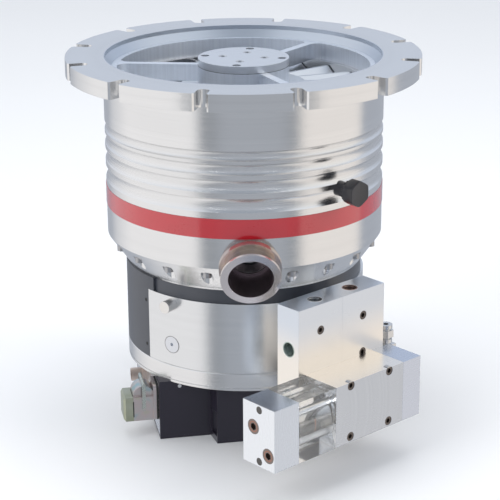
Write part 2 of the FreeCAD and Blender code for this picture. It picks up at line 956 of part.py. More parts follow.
def bearing_balls():
    """Balls of the lower bearing."""
    ball = Part.makeSphere(ball_radius, ball_centre())
    return Part.makeCompound(spread(ball, ball_count))


def bearing_cage():
    """Cage that keeps the balls apart."""
    middle = bearing_bottom + bearing_width / 2
    outer = ball_ring_radius + ball_radius - race_clearance
    inner = ball_ring_radius - ball_radius + race_clearance
    body = ring(outer, inner, middle - cage_width / 2, middle + cage_width / 2)
    pocket = rod(Vector(0, 0, middle), Vector(1, 0, 0), ball_radius + ball_play, bearing_outer_radius)
    return body.cut(spread(pocket, ball_count))


def oil_felt():
    """Felt ring that feeds oil to the lower bearing."""
    return ring(bearing_outer_radius, felt_bore(), base_foot, base_foot + oil_felt_height)


def vent_axis_point(reach):
    """A point on the vent screw's axis."""
    return on_side(vent_angle, reach, vent_height)


def vent_bore(radius, start):
    """The radial hole of the vent valve through the housing wall."""
    return rod(vent_axis_point(start), outward(vent_angle), radius, body_radius)


def vent_valve_body():
    """Threaded sleeve of the vent valve, seated in the housing wall."""
    start = stack_bore_radius + vent_inner_gap
    reach = body_radius + vent_body_reach
    sleeve = rod(vent_axis_point(start), outward(vent_angle), vent_body_radius, reach - start)
    bore = rod(vent_axis_point(start + vent_seat_lip), outward(vent_angle), vent_bore_radius, reach)
    return sleeve.cut(bore)


def vent_stem_start():
    """The distance from the axis to the inner end of the vent stem."""
    return body_radius + vent_body_reach - vent_stem_length


def vent_stem():
    """Sealing stem that slides in the vent sleeve and carries the knob."""
    start = vent_axis_point(vent_stem_start())
    way = outward(vent_angle)
    seal = rod(start, way, vent_bore_radius - running_fit, vent_seal_length)
    return seal.fuse(rod(start, way, vent_stem_radius, vent_stem_length + vent_cap_grip))


def vent_cap():
    """Hexagonal knob with rounded corners that screws the vent stem in and out."""
    start = vent_axis_point(body_radius + vent_body_reach + rest_gap)
    way = outward(vent_angle)
    knob = hexagon(start, way, vent_cap_across, vent_cap_length)
    knob = knob.common(rod(start, way, vent_cap_round, vent_cap_length))
    return knob.cut(rod(start, way, vent_stem_radius + running_fit, vent_cap_grip))


def boxed(shape):
    """A shape turned from the electronics box's own directions into the pump's."""
    return turned(shape, box_turn)


def box_outline(left, margin, side):
    """Plan of the electronics box with its stepped front corner, drawn in by a margin."""
    front = -box_front + margin
    back = box_half_width - margin
    step = front + box_step_depth
    corners = [
        Vector(left, step, 0),
        Vector(side - box_step_slant, step, 0),
        Vector(side, front, 0),
        Vector(back, front, 0),
        Vector(back, back, 0),
        Vector(left, back, 0),
        Vector(left, step, 0),
    ]
    return Part.Face(Part.makePolygon(corners))


def box_plate(left, margin, side, bottom, top):
    """The plan of the box raised between two heights."""
    plate = box_outline(left, margin, side).extrude(Vector(0, 0, top - bottom))
    plate.translate(Vector(0, 0, bottom))
    return plate


def electronics_housing():
    """Black box of the drive electronics, open below and where the connector panel sits."""
    left = -box_half_width
    shell = box_plate(left, 0.0, box_step_side, box_lid_thickness, box_top)
    space = box_plate(left, box_wall, box_step_side + box_wall, box_lid_thickness, box_top - box_wall)
    space = space.cut(channel_rod(channel_radius + box_wall, box_lid_thickness, channel_top + box_wall))
    channel = channel_rod(channel_radius, channel_bottom, channel_top)
    return boxed(shell.cut([space, channel])).cut(box_screw_rods())


def channel_rod(radius, bottom, top):
    """An upright cylinder on the line of the channel in the side of the box's step."""
    share = channel_place / box_step_depth
    centre = Vector(box_step_side - box_step_slant * share, channel_place - box_front, bottom)
    return rod(centre, UP, radius, top - bottom)


def box_screw_rods():
    """The shanks of the screws along the top of the box's sides."""
    places = []
    for side in (0.0, front_screw_side):
        places.append((Vector(side, -box_front, box_screw_height), Vector(0, 1, 0)))
    for side in (-side_screw_place, side_screw_place):
        places.append((Vector(box_half_width, side, box_screw_height), Vector(-1, 0, 0)))
        places.append((Vector(side, box_half_width, box_screw_height), Vector(0, -1, 0)))
    rods = [rod(start, way, box_screw_radius, box_wall) for start, way in places]
    recess = Vector(-recess_screw_side, -box_front + box_step_depth, box_screw_height)
    rods.append(rod(recess, Vector(0, 1, 0), recess_screw_radius, box_wall))
    return [boxed(screw) for screw in rods]


def electronics_lid():
    """Bottom plate of the box with the posts of the circuit board."""
    plate = box_plate(-box_half_width, 0.0, box_step_side, 0.0, box_lid_thickness)
    return boxed(plate.multiFuse(board_posts(board_lift)))


def board_posts(height):
    """Four upright posts under the corners of the circuit board."""
    half = post_spacing / 2
    posts = []
    for x_side in (-half, half):
        for y_side in (-half, half):
            posts.append(rod(Vector(x_side, y_side, box_lid_thickness), UP, post_radius, height))
    return posts


def circuit_board():
    """Drive circuit board on its posts."""
    half = board_size / 2
    bottom = box_lid_thickness + board_lift
    board = block(-half, half, -half, half, bottom, bottom + board_thickness)
    recess = -box_front + box_step_depth + box_wall + rest_gap
    corner = block(-half, box_step_side + box_wall + rest_gap, -half, recess, 0, box_top)
    return boxed(board.cut(corner))


def connector_panel():
    """Light metal panel on the left of the box, with the openings of both connectors."""
    left = -box_half_width
    right = left + panel_thickness
    front = -box_front + box_step_depth + box_wall
    back = box_half_width - box_wall
    plate = block(left, right, front, back, box_lid_thickness, box_top - box_wall)
    power_hole = power_block(left, right, -power_wall)
    data_mouth = Vector(left, data_side, data_height)
    data_hole = rod(data_mouth, Vector(1, 0, 0), data_radius - data_wall, panel_thickness)
    return boxed(plate.cut([power_hole, data_hole]))


def power_block(x_low, x_high, margin):
    """A box centred on the power connector, grown by a margin on every side."""
    half = power_width / 2 + margin
    tall = power_tall / 2 + margin
    y_low = power_side - half
    z_low = power_height - tall
    return block(x_low, x_high, y_low, y_low + 2 * half, z_low, z_low + 2 * tall)


def power_plate(x_low, x_high):
    """A plate behind the power connector, as tall as its hood, with rounded corners."""
    plate = power_block(x_low, x_high, gasket_margin)
    upper = plate.copy()
    upper.translate(UP * hood_radius)
    plate = plate.fuse(upper).removeSplitter()
    corners = [edge for edge in plate.Edges if abs(edge.tangentAt(edge.FirstParameter).x) > 0.5]
    return plate.makeFillet(power_round, corners)


def power_gasket():
    """Black gasket between the panel and the power connector."""
    outer = -box_half_width
    frame = power_plate(outer - gasket_thickness, outer)
    return boxed(frame.cut(power_block(outer - gasket_thickness, outer, -power_wall)))


def power_root():
    """The face of the gasket that the power connector stands on."""
    return -box_half_width - gasket_thickness


def power_housing():
    """Zinc housing of the power connector: flange, half-round hood and the pins of its lever."""
    root = power_root()
    flange = power_plate(root - power_flange_thickness, root)
    hood_start = Vector(lever_pivot().x, power_side - hood_width / 2, power_height + power_tall / 2)
    hood = rod(hood_start, Vector(0, 1, 0), hood_radius, hood_width)
    shell = power_block(root - power_length, root, 0.0).multiFuse([flange, hood])
    shell = shell.cut(power_block(root - power_length, root, -power_wall))
    pin_length = lever_thickness + rest_gap
    pins = []
    for way in (-1, 1):
        start = Vector(lever_pivot().x, power_side + way * power_width / 2, lever_pivot().z)
        pins.append(rod(start, Vector(0, way, 0), lever_pin_radius, pin_length))
    return boxed(shell.multiFuse(pins))


def power_cap():
    """Pale protective cap in the mouth of the power connector."""
    mouth = power_root() - power_length
    front = mouth - cap_length
    rim = power_block(front, mouth, 0.0)
    rim = rim.makeChamfer(cap_chamfer, [edge for edge in rim.Edges if edge.BoundBox.XMax < front + rest_gap])
    plug = power_block(mouth, mouth + power_length / 2, -power_wall)
    return boxed(rim.fuse(plug))


def lever_pivot():
    """The locking lever's pivot in the box's own directions."""
    reach = -box_half_width - lever_pivot_reach
    return Vector(reach, power_side, power_height)


def locking_lever():
    """Lever that locks the power plug, at rest over the hood: two arms and a bar."""
    pivot = lever_pivot()
    arms = []
    half_width = lever_width / 2
    near = power_width / 2 + rest_gap
    for way in (-1, 1):
        y_middle = power_side + way * (near + lever_thickness / 2)
        y_low = y_middle - lever_thickness / 2
        y_high = y_middle + lever_thickness / 2
        top = pivot.z + lever_length
        arm = block(pivot.x - half_width, pivot.x + half_width, y_low, y_high, pivot.z, top)
        for level in (pivot.z, top):
            arm = arm.fuse(rod(Vector(pivot.x, y_low, level), Vector(0, 1, 0), half_width, lever_thickness))
        hole_start = Vector(pivot.x, y_low, pivot.z)
        hole = rod(hole_start, Vector(0, 1, 0), lever_pin_radius + running_fit, lever_thickness)
        arms.append(arm.cut(hole))
    bar_start = Vector(pivot.x, power_side - near - lever_thickness / 2, pivot.z + lever_length)
    bar = rod(bar_start, Vector(0, 1, 0), lever_bar_radius, 2 * near + lever_thickness)
    return boxed(bar.multiFuse(arms))


def data_connector():
    """Round metal connector with a hexagonal nut at the panel and a hollow mouth."""
    start = Vector(-box_half_width, data_side, data_height)
    way = Vector(-1, 0, 0)
    nut = hexagon(start, way, data_nut_across, data_nut_length)
    barrel = rod(start, way, data_radius, data_length)
    mouth_start = start + way * (data_nut_length / 2)
    return boxed(nut.fuse(barrel).cut(rod(mouth_start, way, data_radius - data_wall, data_length)))


def facing(shape):
    """A shape turned from the oil pump's own directions into the pump's."""
    return turned(shape, block_turn)


def pump_span(start, length):
    """A box of the oil pump's section from a distance along its row of blocks."""
    left = block_left + start
    top = block_bottom + block_height
    return block(left, left + length, -block_front, block_depth - block_front, block_bottom, top)


def end_hole(depth_in, rise, radius, length):
    """A hole into the free end of the oil pump."""
    start = Vector(block_left, -block_front + depth_in, block_bottom + rise)
    return rod(start, Vector(1, 0, 0), radius, length)


def end_plug_rods():
    """Seats of the two filler plugs."""
    return [
        end_hole(upper_plug_inset, upper_plug_rise, end_plug_radius, end_plug_depth),
        end_hole(lower_plug_inset, lower_plug_rise, end_plug_radius, end_plug_depth),
    ]


def dowel_rods():
    """Seats of the two dowels."""
    return [
        end_hole(dowel_inset, block_height - dowel_margin, dowel_radius, dowel_depth),
        end_hole(dowel_inset, dowel_margin, dowel_radius, dowel_depth),
    ]


def end_block():
    """Free end of the oil pump with the seats of its plugs and dowels."""
    return facing(pump_span(0.0, end_block_length).cut(end_plug_rods() + dowel_rods()))


def filler_plugs():
    """Two filler plugs with hexagonal sockets."""
    plugs = []
    for seat in end_plug_rods():
        centre = Vector(block_left, seat.CenterOfMass.y, seat.CenterOfMass.z)
        plugs.append(seat.cut(hexagon(centre, Vector(1, 0, 0), end_plug_socket, end_plug_socket_depth)))
    return facing(Part.makeCompound(plugs))


def dowels():
    """Two dowels that line up the free end."""
    return facing(Part.makeCompound(dowel_rods()))


def reservoir():
    """Clear oil reservoir: a block with a lying round chamber between the end blocks."""
    body = pump_span(end_block_length, reservoir_length)
    middle = Vector(block_left, -block_front + block_depth / 2, block_bottom + block_height / 2)
    length = end_block_length + reservoir_length
    return facing(body.cut(rod(middle, Vector(1, 0, 0), reservoir_bore_radius, length)))


def pump_block_left():
    """The start of the pump block along the row."""
    return end_block_length + reservoir_length


def piston_space():
    """The bore of the oil pump's piston, open to the rear end block."""
    length = piston_length + piston_travel + 2 * rest_gap
    end = block_left + pump_block_left() + pump_block_length
    middle = Vector(end - length, -block_front + block_depth / 2, block_bottom + block_height / 2)
    return rod(middle, Vector(1, 0, 0), piston_radius + running_fit, length)


def fluid_pump_block():
    """Body of the oil pump with its screw seats and piston bore."""
    body = pump_span(pump_block_left(), pump_block_length)
    return facing(body.cut(pump_screw_seats() + [piston_space()]))


def fluid_piston():
    """Piston of the oil pump."""
    bore = piston_space()
    start = Vector(bore.BoundBox.XMin + rest_gap, bore.CenterOfMass.y, bore.CenterOfMass.z)
    return facing(rod(start, Vector(1, 0, 0), piston_radius, piston_length))


def rear_end_block():
    """Rear end of the oil pump."""
    return facing(pump_span(pump_block_left() + pump_block_length, rear_end_length))


def pump_screw_seats():
    """Seats of the four screws in the front of the pump block."""
    middle_x = block_left + pump_block_left() + pump_block_length / 2
    middle_z = block_bottom + block_height / 2 + screw_pattern_lift
    seats = []
    for x_side in (-screw_pattern_width / 2, screw_pattern_width / 2):
        for z_side in (-screw_pattern_height / 2, screw_pattern_height / 2):
            start = Vector(middle_x + x_side, -block_front, middle_z + z_side)
            seats.append(rod(start, Vector(0, 1, 0), block_screw_radius, block_screw_depth))
    return seats


def manifold_front():
    """The plane of the manifold's front face."""
    return block_depth - block_front


def manifold_screw_seats():
    """Seats of the screws in the front of the manifold."""
    left_middle = manifold_left + manifold_width / 2
    right_middle = left_middle + manifold_width
    places = [
        (left_middle, manifold_screw_height),
        (right_middle, manifold_screw_height),
        (right_middle, low_screw_height),
    ]
    return [
        rod(Vector(x, manifold_front(), z), Vector(0, 1, 0), block_screw_radius, block_screw_depth)
        for x, z in places
    ]


def block_screws():
    """Socket screws of the pump block and the manifold."""
    screws = []
    for seat in pump_screw_seats() + manifold_screw_seats():
        centre = Vector(seat.CenterOfMass.x, seat.BoundBox.YMin + screw_sink, seat.CenterOfMass.z)
        body = rod(centre, Vector(0, 1, 0), block_screw_radius, block_screw_depth - screw_sink)
        screws.append(body.cut(hexagon(centre, Vector(0, 1, 0), screw_socket_across, screw_socket_depth)))
    return facing(Part.makeCompound(screws))


def gas_port_places():
    """The mouth and direction of each threaded port of the manifold."""
    middle = manifold_left + manifold_width
    y = manifold_front() + gas_port_inset
    return [
        (Vector(middle - gas_port_side, y, manifold_top), Vector(0, 0, -1)),
        (Vector(middle + gas_port_side, y, manifold_top), Vector(0, 0, -1)),
        (Vector(manifold_left, y, side_port_height), Vector(1, 0, 0)),
    ]


def manifold_part(left):
    """One of the two manifold blocks, before it is turned into place."""
    front = manifold_front()
    back = front + manifold_thickness
    body = block(left, left + manifold_width, front, back, manifold_bottom, manifold_top)
    seats = [rod(mouth, way, gas_port_radius, gas_port_depth) for mouth, way in gas_port_places()]
    return facing(body.cut(seats + manifold_screw_seats()))


def manifold_left_block():
    """Left manifold block with a port on its top and one on its side."""
    return manifold_part(manifold_left)


def manifold_right_block():
    """Right manifold block with a port on its top."""
    return manifold_part(manifold_left + manifold_width)


def manifold_pad():
    """Pad that seats the manifold on the round cooling jacket."""
    back = manifold_front() + manifold_thickness
    left = pad_side - pad_width / 2
    body = block(left, left + pad_width, back, pad_inner, pad_bottom, pad_bottom + pad_height)
    return facing(body.cut(disc(skirt_radius, 0, flange_top)))


def elbow_fitting():
    """Elbow fitting on the manifold's right side: stub, cube, nut and rounded collars."""
    face = manifold_left + 2 * manifold_width
    y = manifold_front() + gas_port_inset
    stub = rod(Vector(face, y, elbow_height), Vector(1, 0, 0), elbow_stub_radius, elbow_reach)
    half = elbow_size / 2
    middle = face + elbow_reach
    cube = block(middle - half, middle + half, y - half, y + half, elbow_height - half, elbow_height + half)
    pieces = [cube]
    level = elbow_height + half
    centre = Vector(middle, y, level)
    total = elbow_stem_height * 3 + elbow_ring_height * 2 + elbow_nut_height
    pieces.append(rod(centre, UP, elbow_stem_radius, total))
    level += elbow_stem_height
    pieces.append(rod(Vector(middle, y, level), UP, elbow_ring_radius, elbow_ring_height))
    level += elbow_ring_height + elbow_stem_height
    pieces.append(hexagon(Vector(middle, y, level), UP, elbow_nut_across, elbow_nut_height))
    level += elbow_nut_height + elbow_stem_height
    pieces.append(rod(Vector(middle, y, level), UP, elbow_ring_radius, elbow_ring_height))
    bore_start = Vector(middle, y, elbow_height)
    return facing(stub.multiFuse(pieces).cut(rod(bore_start, UP, elbow_bore_radius, 2 * total)))


def main():
    """Build and save every sub-part."""
    os.makedirs("parts", exist_ok=True)
    builders = [
        pump_housing, colour_band, exhaust_housing, housing_seal, housing_bolts, foreline_port,
        base_body, base_plate, cooling_jacket, jacket_pin, jacket_plug, side_cover, small_screws,
        bearing_star, hub_cover, hub_cover_screws, safety_bearing, stator_magnets, spacer_rings,
        rotor, rotor_shaft, rotor_magnets, drag_drum, drag_stator, motor_magnet, motor_stator,
        motor_windings, bearing_outer_ring, bearing_inner_ring, bearing_balls, bearing_cage, oil_felt,
        vent_valve_body, vent_stem, vent_cap, electronics_housing, electronics_lid,
        circuit_board, connector_panel, power_gasket, power_housing, power_cap, locking_lever,
        data_connector, end_block, filler_plugs, dowels, reservoir, fluid_pump_block, fluid_piston,
        rear_end_block, block_screws, manifold_left_block, manifold_right_block,
        manifold_pad, elbow_fitting,
    ]
    for builder in builders:
        save(builder.__name__, builder())
    for step in range(len(stator_stage_heights)):
        save("stator_disc_" + str(step + 1), stator_disc(step))


main()
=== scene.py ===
# %% [markdown]
# # A turbomolecular pump, dressed for its portrait
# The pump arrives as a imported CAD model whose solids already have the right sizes. This lesson
# gives each solid the finish of the real machine, adds the small forms that the solids leave
# out, and sets up a camera and a soft studio. Lengths are in metres. The rotor's axis is Z, and
# the fore-vacuum port points towards -Y.

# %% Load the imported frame
import math
import bpy
import bmesh
import numpy as np
from mathutils import Matrix, Vector


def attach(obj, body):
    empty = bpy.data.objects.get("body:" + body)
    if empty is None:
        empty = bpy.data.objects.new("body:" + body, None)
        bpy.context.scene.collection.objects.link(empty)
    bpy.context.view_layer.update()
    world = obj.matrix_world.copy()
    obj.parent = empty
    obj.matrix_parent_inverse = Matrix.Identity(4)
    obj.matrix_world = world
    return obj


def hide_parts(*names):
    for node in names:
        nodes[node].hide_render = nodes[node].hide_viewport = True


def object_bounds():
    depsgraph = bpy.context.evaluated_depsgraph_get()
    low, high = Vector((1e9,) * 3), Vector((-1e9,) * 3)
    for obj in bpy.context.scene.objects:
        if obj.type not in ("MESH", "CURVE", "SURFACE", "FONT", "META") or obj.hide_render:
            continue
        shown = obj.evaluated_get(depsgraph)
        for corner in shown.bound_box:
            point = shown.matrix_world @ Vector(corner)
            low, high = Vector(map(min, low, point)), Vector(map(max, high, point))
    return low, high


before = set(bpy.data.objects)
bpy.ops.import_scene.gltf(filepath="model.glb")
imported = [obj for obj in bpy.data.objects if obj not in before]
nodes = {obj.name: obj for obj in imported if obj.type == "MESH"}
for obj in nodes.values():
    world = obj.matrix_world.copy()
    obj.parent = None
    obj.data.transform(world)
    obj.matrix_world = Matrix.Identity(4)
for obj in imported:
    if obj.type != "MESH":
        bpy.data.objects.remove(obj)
scene = bpy.context.scene
cad_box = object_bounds()

# %% [markdown]
# ## The camera
# The real picture was taken from a little above with a long lens, so upright edges hardly
# converge. The numbers below come from fitting a camera to the flange's rim and its bolt slots.
# A camera matrix is built by hand: its columns are right, up and backwards.

# %% Place the camera
stand_angle = math.radians(-2.05)
camera_pitch = math.radians(18.91707)
camera_yaw = math.radians(0.18547)
camera_roll = math.radians(0.33073)
camera_spot = (0.0, -1.568293, 0.696050)
sensor_millimetres = 36.0
lens_millimetres = 121.995
farthest_seen = 50.0


def camera_axes(pitch, yaw, roll):
    """Right, up and backward directions of a camera that looks along +Y when all angles are 0."""
    forward = np.array([
        math.sin(yaw) * math.cos(pitch), math.cos(yaw) * math.cos(pitch), -math.sin(pitch)])
    right = np.array([math.cos(yaw), -math.sin(yaw), 0.0])
    down = np.cross(forward, right)
    turned_right = math.cos(roll) * right + math.sin(roll) * down
    turned_down = -math.sin(roll) * right + math.cos(roll) * down
    return turned_right, -turned_down, -forward


turn = Matrix.Rotation(stand_angle, 3, "Z")
place = turn @ Vector(camera_spot)
columns = [turn @ Vector(axis) for axis in camera_axes(camera_pitch, camera_yaw, camera_roll)]
camera = bpy.data.objects.new("studio_camera", bpy.data.cameras.new("studio_camera"))
scene.collection.objects.link(camera)
camera.matrix_world = Matrix.Translation(place) @ Matrix(columns).transposed().to_4x4()
camera.data.sensor_width = sensor_millimetres
camera.data.lens = lens_millimetres
camera.data.clip_end = farthest_seen
scene.camera = camera
print("camera at", [round(value, 3) for value in place])

# %% [markdown]
# ## Shader maths as Python
# A material is a graph of nodes. Wiring it by hand hides the idea, so a small class stands for
# one socket and lets `+`, `-`, `*` and comparisons add the Math nodes. `Shop.node` makes any
# other node from its type, its settings and its inputs.

# %% A socket that does sums
class Wire:
    """One output socket that can be used in sums."""

    def __init__(self, shop, socket):
        self.shop = shop
        self.socket = socket

    def math(self, operation, *others, **settings):
        """A Math node of this socket and the others."""
        return self.shop.node(
            "ShaderNodeMath", 0, [self, *others], operation=operation, **settings)

    def __add__(self, other):
        return self.math("ADD", other)

    def __radd__(self, other):
        return self.math("ADD", other)

    def __sub__(self, other):
        return self.math("SUBTRACT", other)

    def __rsub__(self, other):
        return self.shop.node("ShaderNodeMath", 0, [other, self], operation="SUBTRACT")

    def __mul__(self, other):
        return self.math("MULTIPLY", other)

    def __pow__(self, other):
        return self.math("POWER", other)

    def __neg__(self):
        return self.math("MULTIPLY", -1.0)

    def __gt__(self, other):
        return self.math("GREATER_THAN", other)

    def __lt__(self, other):
        return self.math("LESS_THAN", other)

    def clamp(self):
        """The value kept between 0 and 1."""
        return self.math("ADD", 0.0, use_clamp=True)

    def between(self, low, high):
        """The value rescaled smoothly from a range to 0 and 1."""
        return self.shop.node(
            "ShaderNodeMapRange", 0, [self, low, high, 0.0, 1.0], interpolation_type="SMOOTHSTEP")


class Shop:
    """The node tree of one material or world, and the ways to add to it."""

    def __init__(self, tree):
        self.tree = tree
        tree.nodes.clear()

    def put(self, value, target):
        """Link a wire to an input, or set the input to a plain value."""
        if isinstance(value, Wire):
            self.tree.links.new(value.socket, target)
        else:
            target.default_value = value

    def node(self, kind, output, inputs=(), named=None, ramp=None, **settings):
        """A node of a type with its settings and inputs; gives back one output as a wire."""
        made = self.tree.nodes.new(kind)
        for name, value in settings.items():
            setattr(made, name, value)
        if ramp:
            elements = made.color_ramp.elements
            while len(elements) < len(ramp):
                elements.new(0.5)
            for element, (position, colour) in zip(elements, ramp):
                element.position = position
                element.color = colour
        for index, value in enumerate(inputs):
            self.put(value, made.inputs[index])
        for name, value in (named or {}).items():
            self.put(value, made.inputs[name])
        return Wire(self, made.outputs[output])

    def where(self):
        """The place of the shaded point in its object."""
        return self.node("ShaderNodeTexCoord", "Object")

    def parts(self, vector):
        """The three parts of a vector."""
        first = self.node("ShaderNodeSeparateXYZ", "X", [vector])
        split = first.socket.node
        return first, Wire(self, split.outputs["Y"]), Wire(self, split.outputs["Z"])

    def vector(self, x, y, z):
        """A vector from its three parts."""
        return self.node("ShaderNodeCombineXYZ", 0, [x, y, z])

    def dot(self, one, other):
        """The dot product of two vectors."""
        return self.node("ShaderNodeVectorMath", 1, [one, other], operation="DOT_PRODUCT")

    def stretched(self, vector, factors):
        """A vector with each part multiplied by its own factor."""
        return self.node("ShaderNodeVectorMath", 0, [vector, factors], operation="MULTIPLY")

    def noise(self, vector, scale, detail=2.0, roughness=0.5):
        """Soft noise from 0 to 1 at a vector."""
        return self.node("ShaderNodeTexNoise", 0, named={
            "Vector": vector, "Scale": scale, "Detail": detail, "Roughness": roughness})

    def mix(self, factor, low, high):
        """A colour between two colours; a Mix node's colour sockets follow its other kinds."""
        made = self.tree.nodes.new("ShaderNodeMix")
        made.data_type = "RGBA"
        self.put(factor, made.inputs[0])
        self.put(low, made.inputs[6])
        self.put(high, made.inputs[7])
        return Wire(self, made.outputs[2])

    def tinted(self, colour, factor):
        """A colour made lighter or darker by a factor."""
        return self.node("ShaderNodeVectorMath", 0, named={
            "Vector": colour, "Scale": factor}, operation="SCALE")

    def bump(self, height, strength, distance, edge=0.0004):
        """A normal tilted by a height, on a normal that rolls round sharp edges."""
        rolled = self.node("ShaderNodeBevel", 0, named={"Radius": edge}, samples=4)
        return self.node("ShaderNodeBump", 0, named={
            "Strength": strength, "Distance": distance, "Height": height, "Normal": rolled})


print("shader class ready")

# %% [markdown]
# ## The studio
# Turned metal is a mirror with fine scratches, so it shows its surroundings: a real product
# studio puts white walls to the left and right and leaves the camera's side darker. The same is
# done here with a sky whose colour changes with direction: one ramp round the horizon for what
# upright metal mirrors, one for a little higher, and a bright ceiling that is dimmer on the
# camera's side. The floor is plain and pale, and the camera sees a plain white backdrop.

# %% Build the sky
def grey(level):
    """A grey colour."""
    return (level, level, level, 1.0)


low_tones = {
    "dim": (0.42, 0.445, 0.49, 1.0),
    "edge": (0.34, 0.36, 0.39, 1.0),
    "soft_white": (0.95, 0.94, 0.945, 1.0),
    "warm_white": (0.92, 0.875, 0.84, 1.0),
    "back": (0.44, 0.47, 0.53, 1.0),
}
high_tones = {
    "dim": (0.46, 0.49, 0.55, 1.0),
    "edge": (0.42, 0.45, 0.50, 1.0),
    "soft_white": (0.98, 0.98, 1.00, 1.0),
    "warm_white": (0.95, 0.93, 0.90, 1.0),
    "back": (0.62, 0.68, 0.79, 1.0),
}
bright_ceiling = (0.88, 0.92, 0.98, 1.0)
dim_ceiling = (0.36, 0.40, 0.46, 1.0)
low_to_high = (-0.05, 0.25)
walls_to_ceiling = (0.40, 0.80)
dim_from_left, dim_to_right = (0.36, 0.40), (0.64, 0.60)
dim_below_top = (0.999, 0.975)

world = bpy.data.worlds.new("studio_sky")
world.use_nodes = True
scene.world = world
sky = Shop(world.node_tree)
sky_x, sky_y, sky_z = sky.parts(sky.node("ShaderNodeTexCoord", "Generated"))
around = sky_x.math("ARCTAN2", -sky_y) * (0.5 / math.pi) + 0.5


def wall_ramp(dim, edge, soft_white, warm_white, back):
    """Stops round the horizon, from behind over the left, the camera and the right."""
    haze = tuple(0.5 * (one + other) for one, other in zip(back, soft_white))
    return sky.node("ShaderNodeValToRGB", 0, [around], ramp=[
        (0.000, back), (0.085, back), (0.120, haze), (0.190, soft_white), (0.386, soft_white),
        (0.396, edge), (0.425, edge), (0.445, dim), (0.585, dim), (0.598, edge),
        (0.616, edge), (0.627, warm_white), (0.795, warm_white), (0.808, back), (1.000, back),
    ])


walls = sky.mix(sky_z.between(*low_to_high), wall_ramp(**low_tones), wall_ramp(**high_tones))
camera_side = around.between(*dim_from_left) * around.between(*dim_to_right)
ceiling = sky.mix(camera_side * sky_z.between(*dim_below_top), bright_ceiling, dim_ceiling)
dome = sky.mix(sky_z.between(*walls_to_ceiling), walls, ceiling)
colour = sky.mix(sky.node("ShaderNodeLightPath", "Is Camera Ray"), dome, grey(1.0))
background = sky.node("ShaderNodeBackground", 0, [colour, 1.0])
sky.put(background, sky.tree.nodes.new("ShaderNodeOutputWorld").inputs[0])
scene.view_settings.view_transform = "Standard"
print("sky nodes:", len(world.node_tree.nodes))

# %% Finishes share two helpers
def finish_material(name, build, **constants):
    """A material whose Principled shader gets constants, and whatever build links to it."""
    material = bpy.data.materials.new(name)
    material.use_nodes = True
    shop = Shop(material.node_tree)
    shader = shop.tree.nodes.new("ShaderNodeBsdfPrincipled")
    output = shop.tree.nodes.new("ShaderNodeOutputMaterial")
    shop.put(Wire(shop, shader.outputs[0]), output.inputs[0])
    for label, value in constants.items():
        shader.inputs[label.replace("_", " ")].default_value = value
    for label, value in build(shop).items():
        shop.put(value, shader.inputs[label])
    return material


def dress(name, build, *solids, **constants):
    """Give solids of the CAD model a new material, and give the material back."""
    material = finish_material(name, build, **constants)
    for solid in solids:
        slots = nodes[solid].data.materials
        slots.clear()
        slots.append(material)
    return material


# %% The floor
floor_half = 6.0
floor_gap = 0.0002


def plane_points(half):
    """Four corners of a level square of a half width."""
    return [(-half, -half, 0.0), (half, -half, 0.0), (half, half, 0.0), (-half, half, 0.0)]


def pale_floor(shop):
    """An almost white floor with the faintest cloudiness."""
    return {"Base Color": shop.mix(shop.noise(shop.where(), 1.5), grey(0.86), grey(0.90))}


floor_mesh = bpy.data.meshes.new("studio_floor")
floor_mesh.from_pydata(plane_points(floor_half), [], [(0, 1, 2, 3)])
floor = bpy.data.objects.new("studio_floor", floor_mesh)
scene.collection.objects.link(floor)
floor.location.z = cad_box[0][2] - floor_gap
floor_mesh.materials.append(finish_material("studio_floor", pale_floor, Roughness=0.8))
floor.visible_glossy = False

# %% Soft lamps
pump_middle = (0.0, 0.0, 0.2)
glint_height, glint_width, glint_length = 1.25, 0.10, 0.12
glint_white = (0.95, 0.97, 1.0)


def soft_lamp(name, spot, width, height, power, colour, mirrored=False):
    """A rectangular lamp at a spot, facing the pump; metal mirrors it only where asked."""
    lamp = bpy.data.lights.new(name, "AREA")
    lamp.shape = "RECTANGLE"
    lamp.size = width
    lamp.size_y = height
    lamp.energy = power
    lamp.color = colour
    holder = bpy.data.objects.new(name, lamp)
    scene.collection.objects.link(holder)
    facing = (Vector(spot) - Vector(pump_middle)).to_track_quat("Z", "Y")
    holder.matrix_world = Matrix.Translation(spot) @ facing.to_matrix().to_4x4()
    holder.visible_camera = False
    holder.visible_glossy = mirrored


soft_lamp("lamp_left", (-1.6, -1.1, 1.5), 1.2, 1.2, power=16.0, colour=(1.0, 1.0, 1.0))
soft_lamp("lamp_right", (1.7, -0.6, 1.2), 0.9, 1.2, power=10.0, colour=(1.0, 0.97, 0.93))
soft_lamp("lamp_top", (0.0, 0.2, 2.2), 1.6, 1.6, power=16.0, colour=(0.97, 0.98, 1.0))
for name, x, y, power in (("glint_left", -0.95, -2.0, 0.35), ("glint_right", 0.70, -2.05, 0.30)):
    soft_lamp(name, (x, y, glint_height), glint_width, glint_length, power, glint_white, True)
print("lamps placed")

# %% [markdown]
# ## Turned aluminium
# The housings are turned on a lathe. The tool leaves rings, so the pattern only changes with
# the distance from the axis and along it. Noise is read at those two numbers, stretched very
# fine, and feeds the roughness and a bump, which smears what the metal mirrors up and down but
# not sideways. A slow noise adds the faint stains of handling. The bump stands on a Bevel node,
# so sharp edges catch a thin line of light as deburred edges do.

# %% Coordinates about an axis
def lathe_coordinates(shop, point=(0.0, 0.0, 0.0), axis=(0.0, 0.0, 1.0)):
    """Distance from an axis, |p - a(p.a)|, distance along it, p.a, and the place itself."""
    where = shop.where()
    offset = shop.node("ShaderNodeVectorMath", 0, [where, point], operation="SUBTRACT")
    along = shop.dot(offset, axis)
    squared = shop.dot(offset, offset) - along * along
    return squared.math("MAXIMUM", 0.0).math("SQRT"), along, where


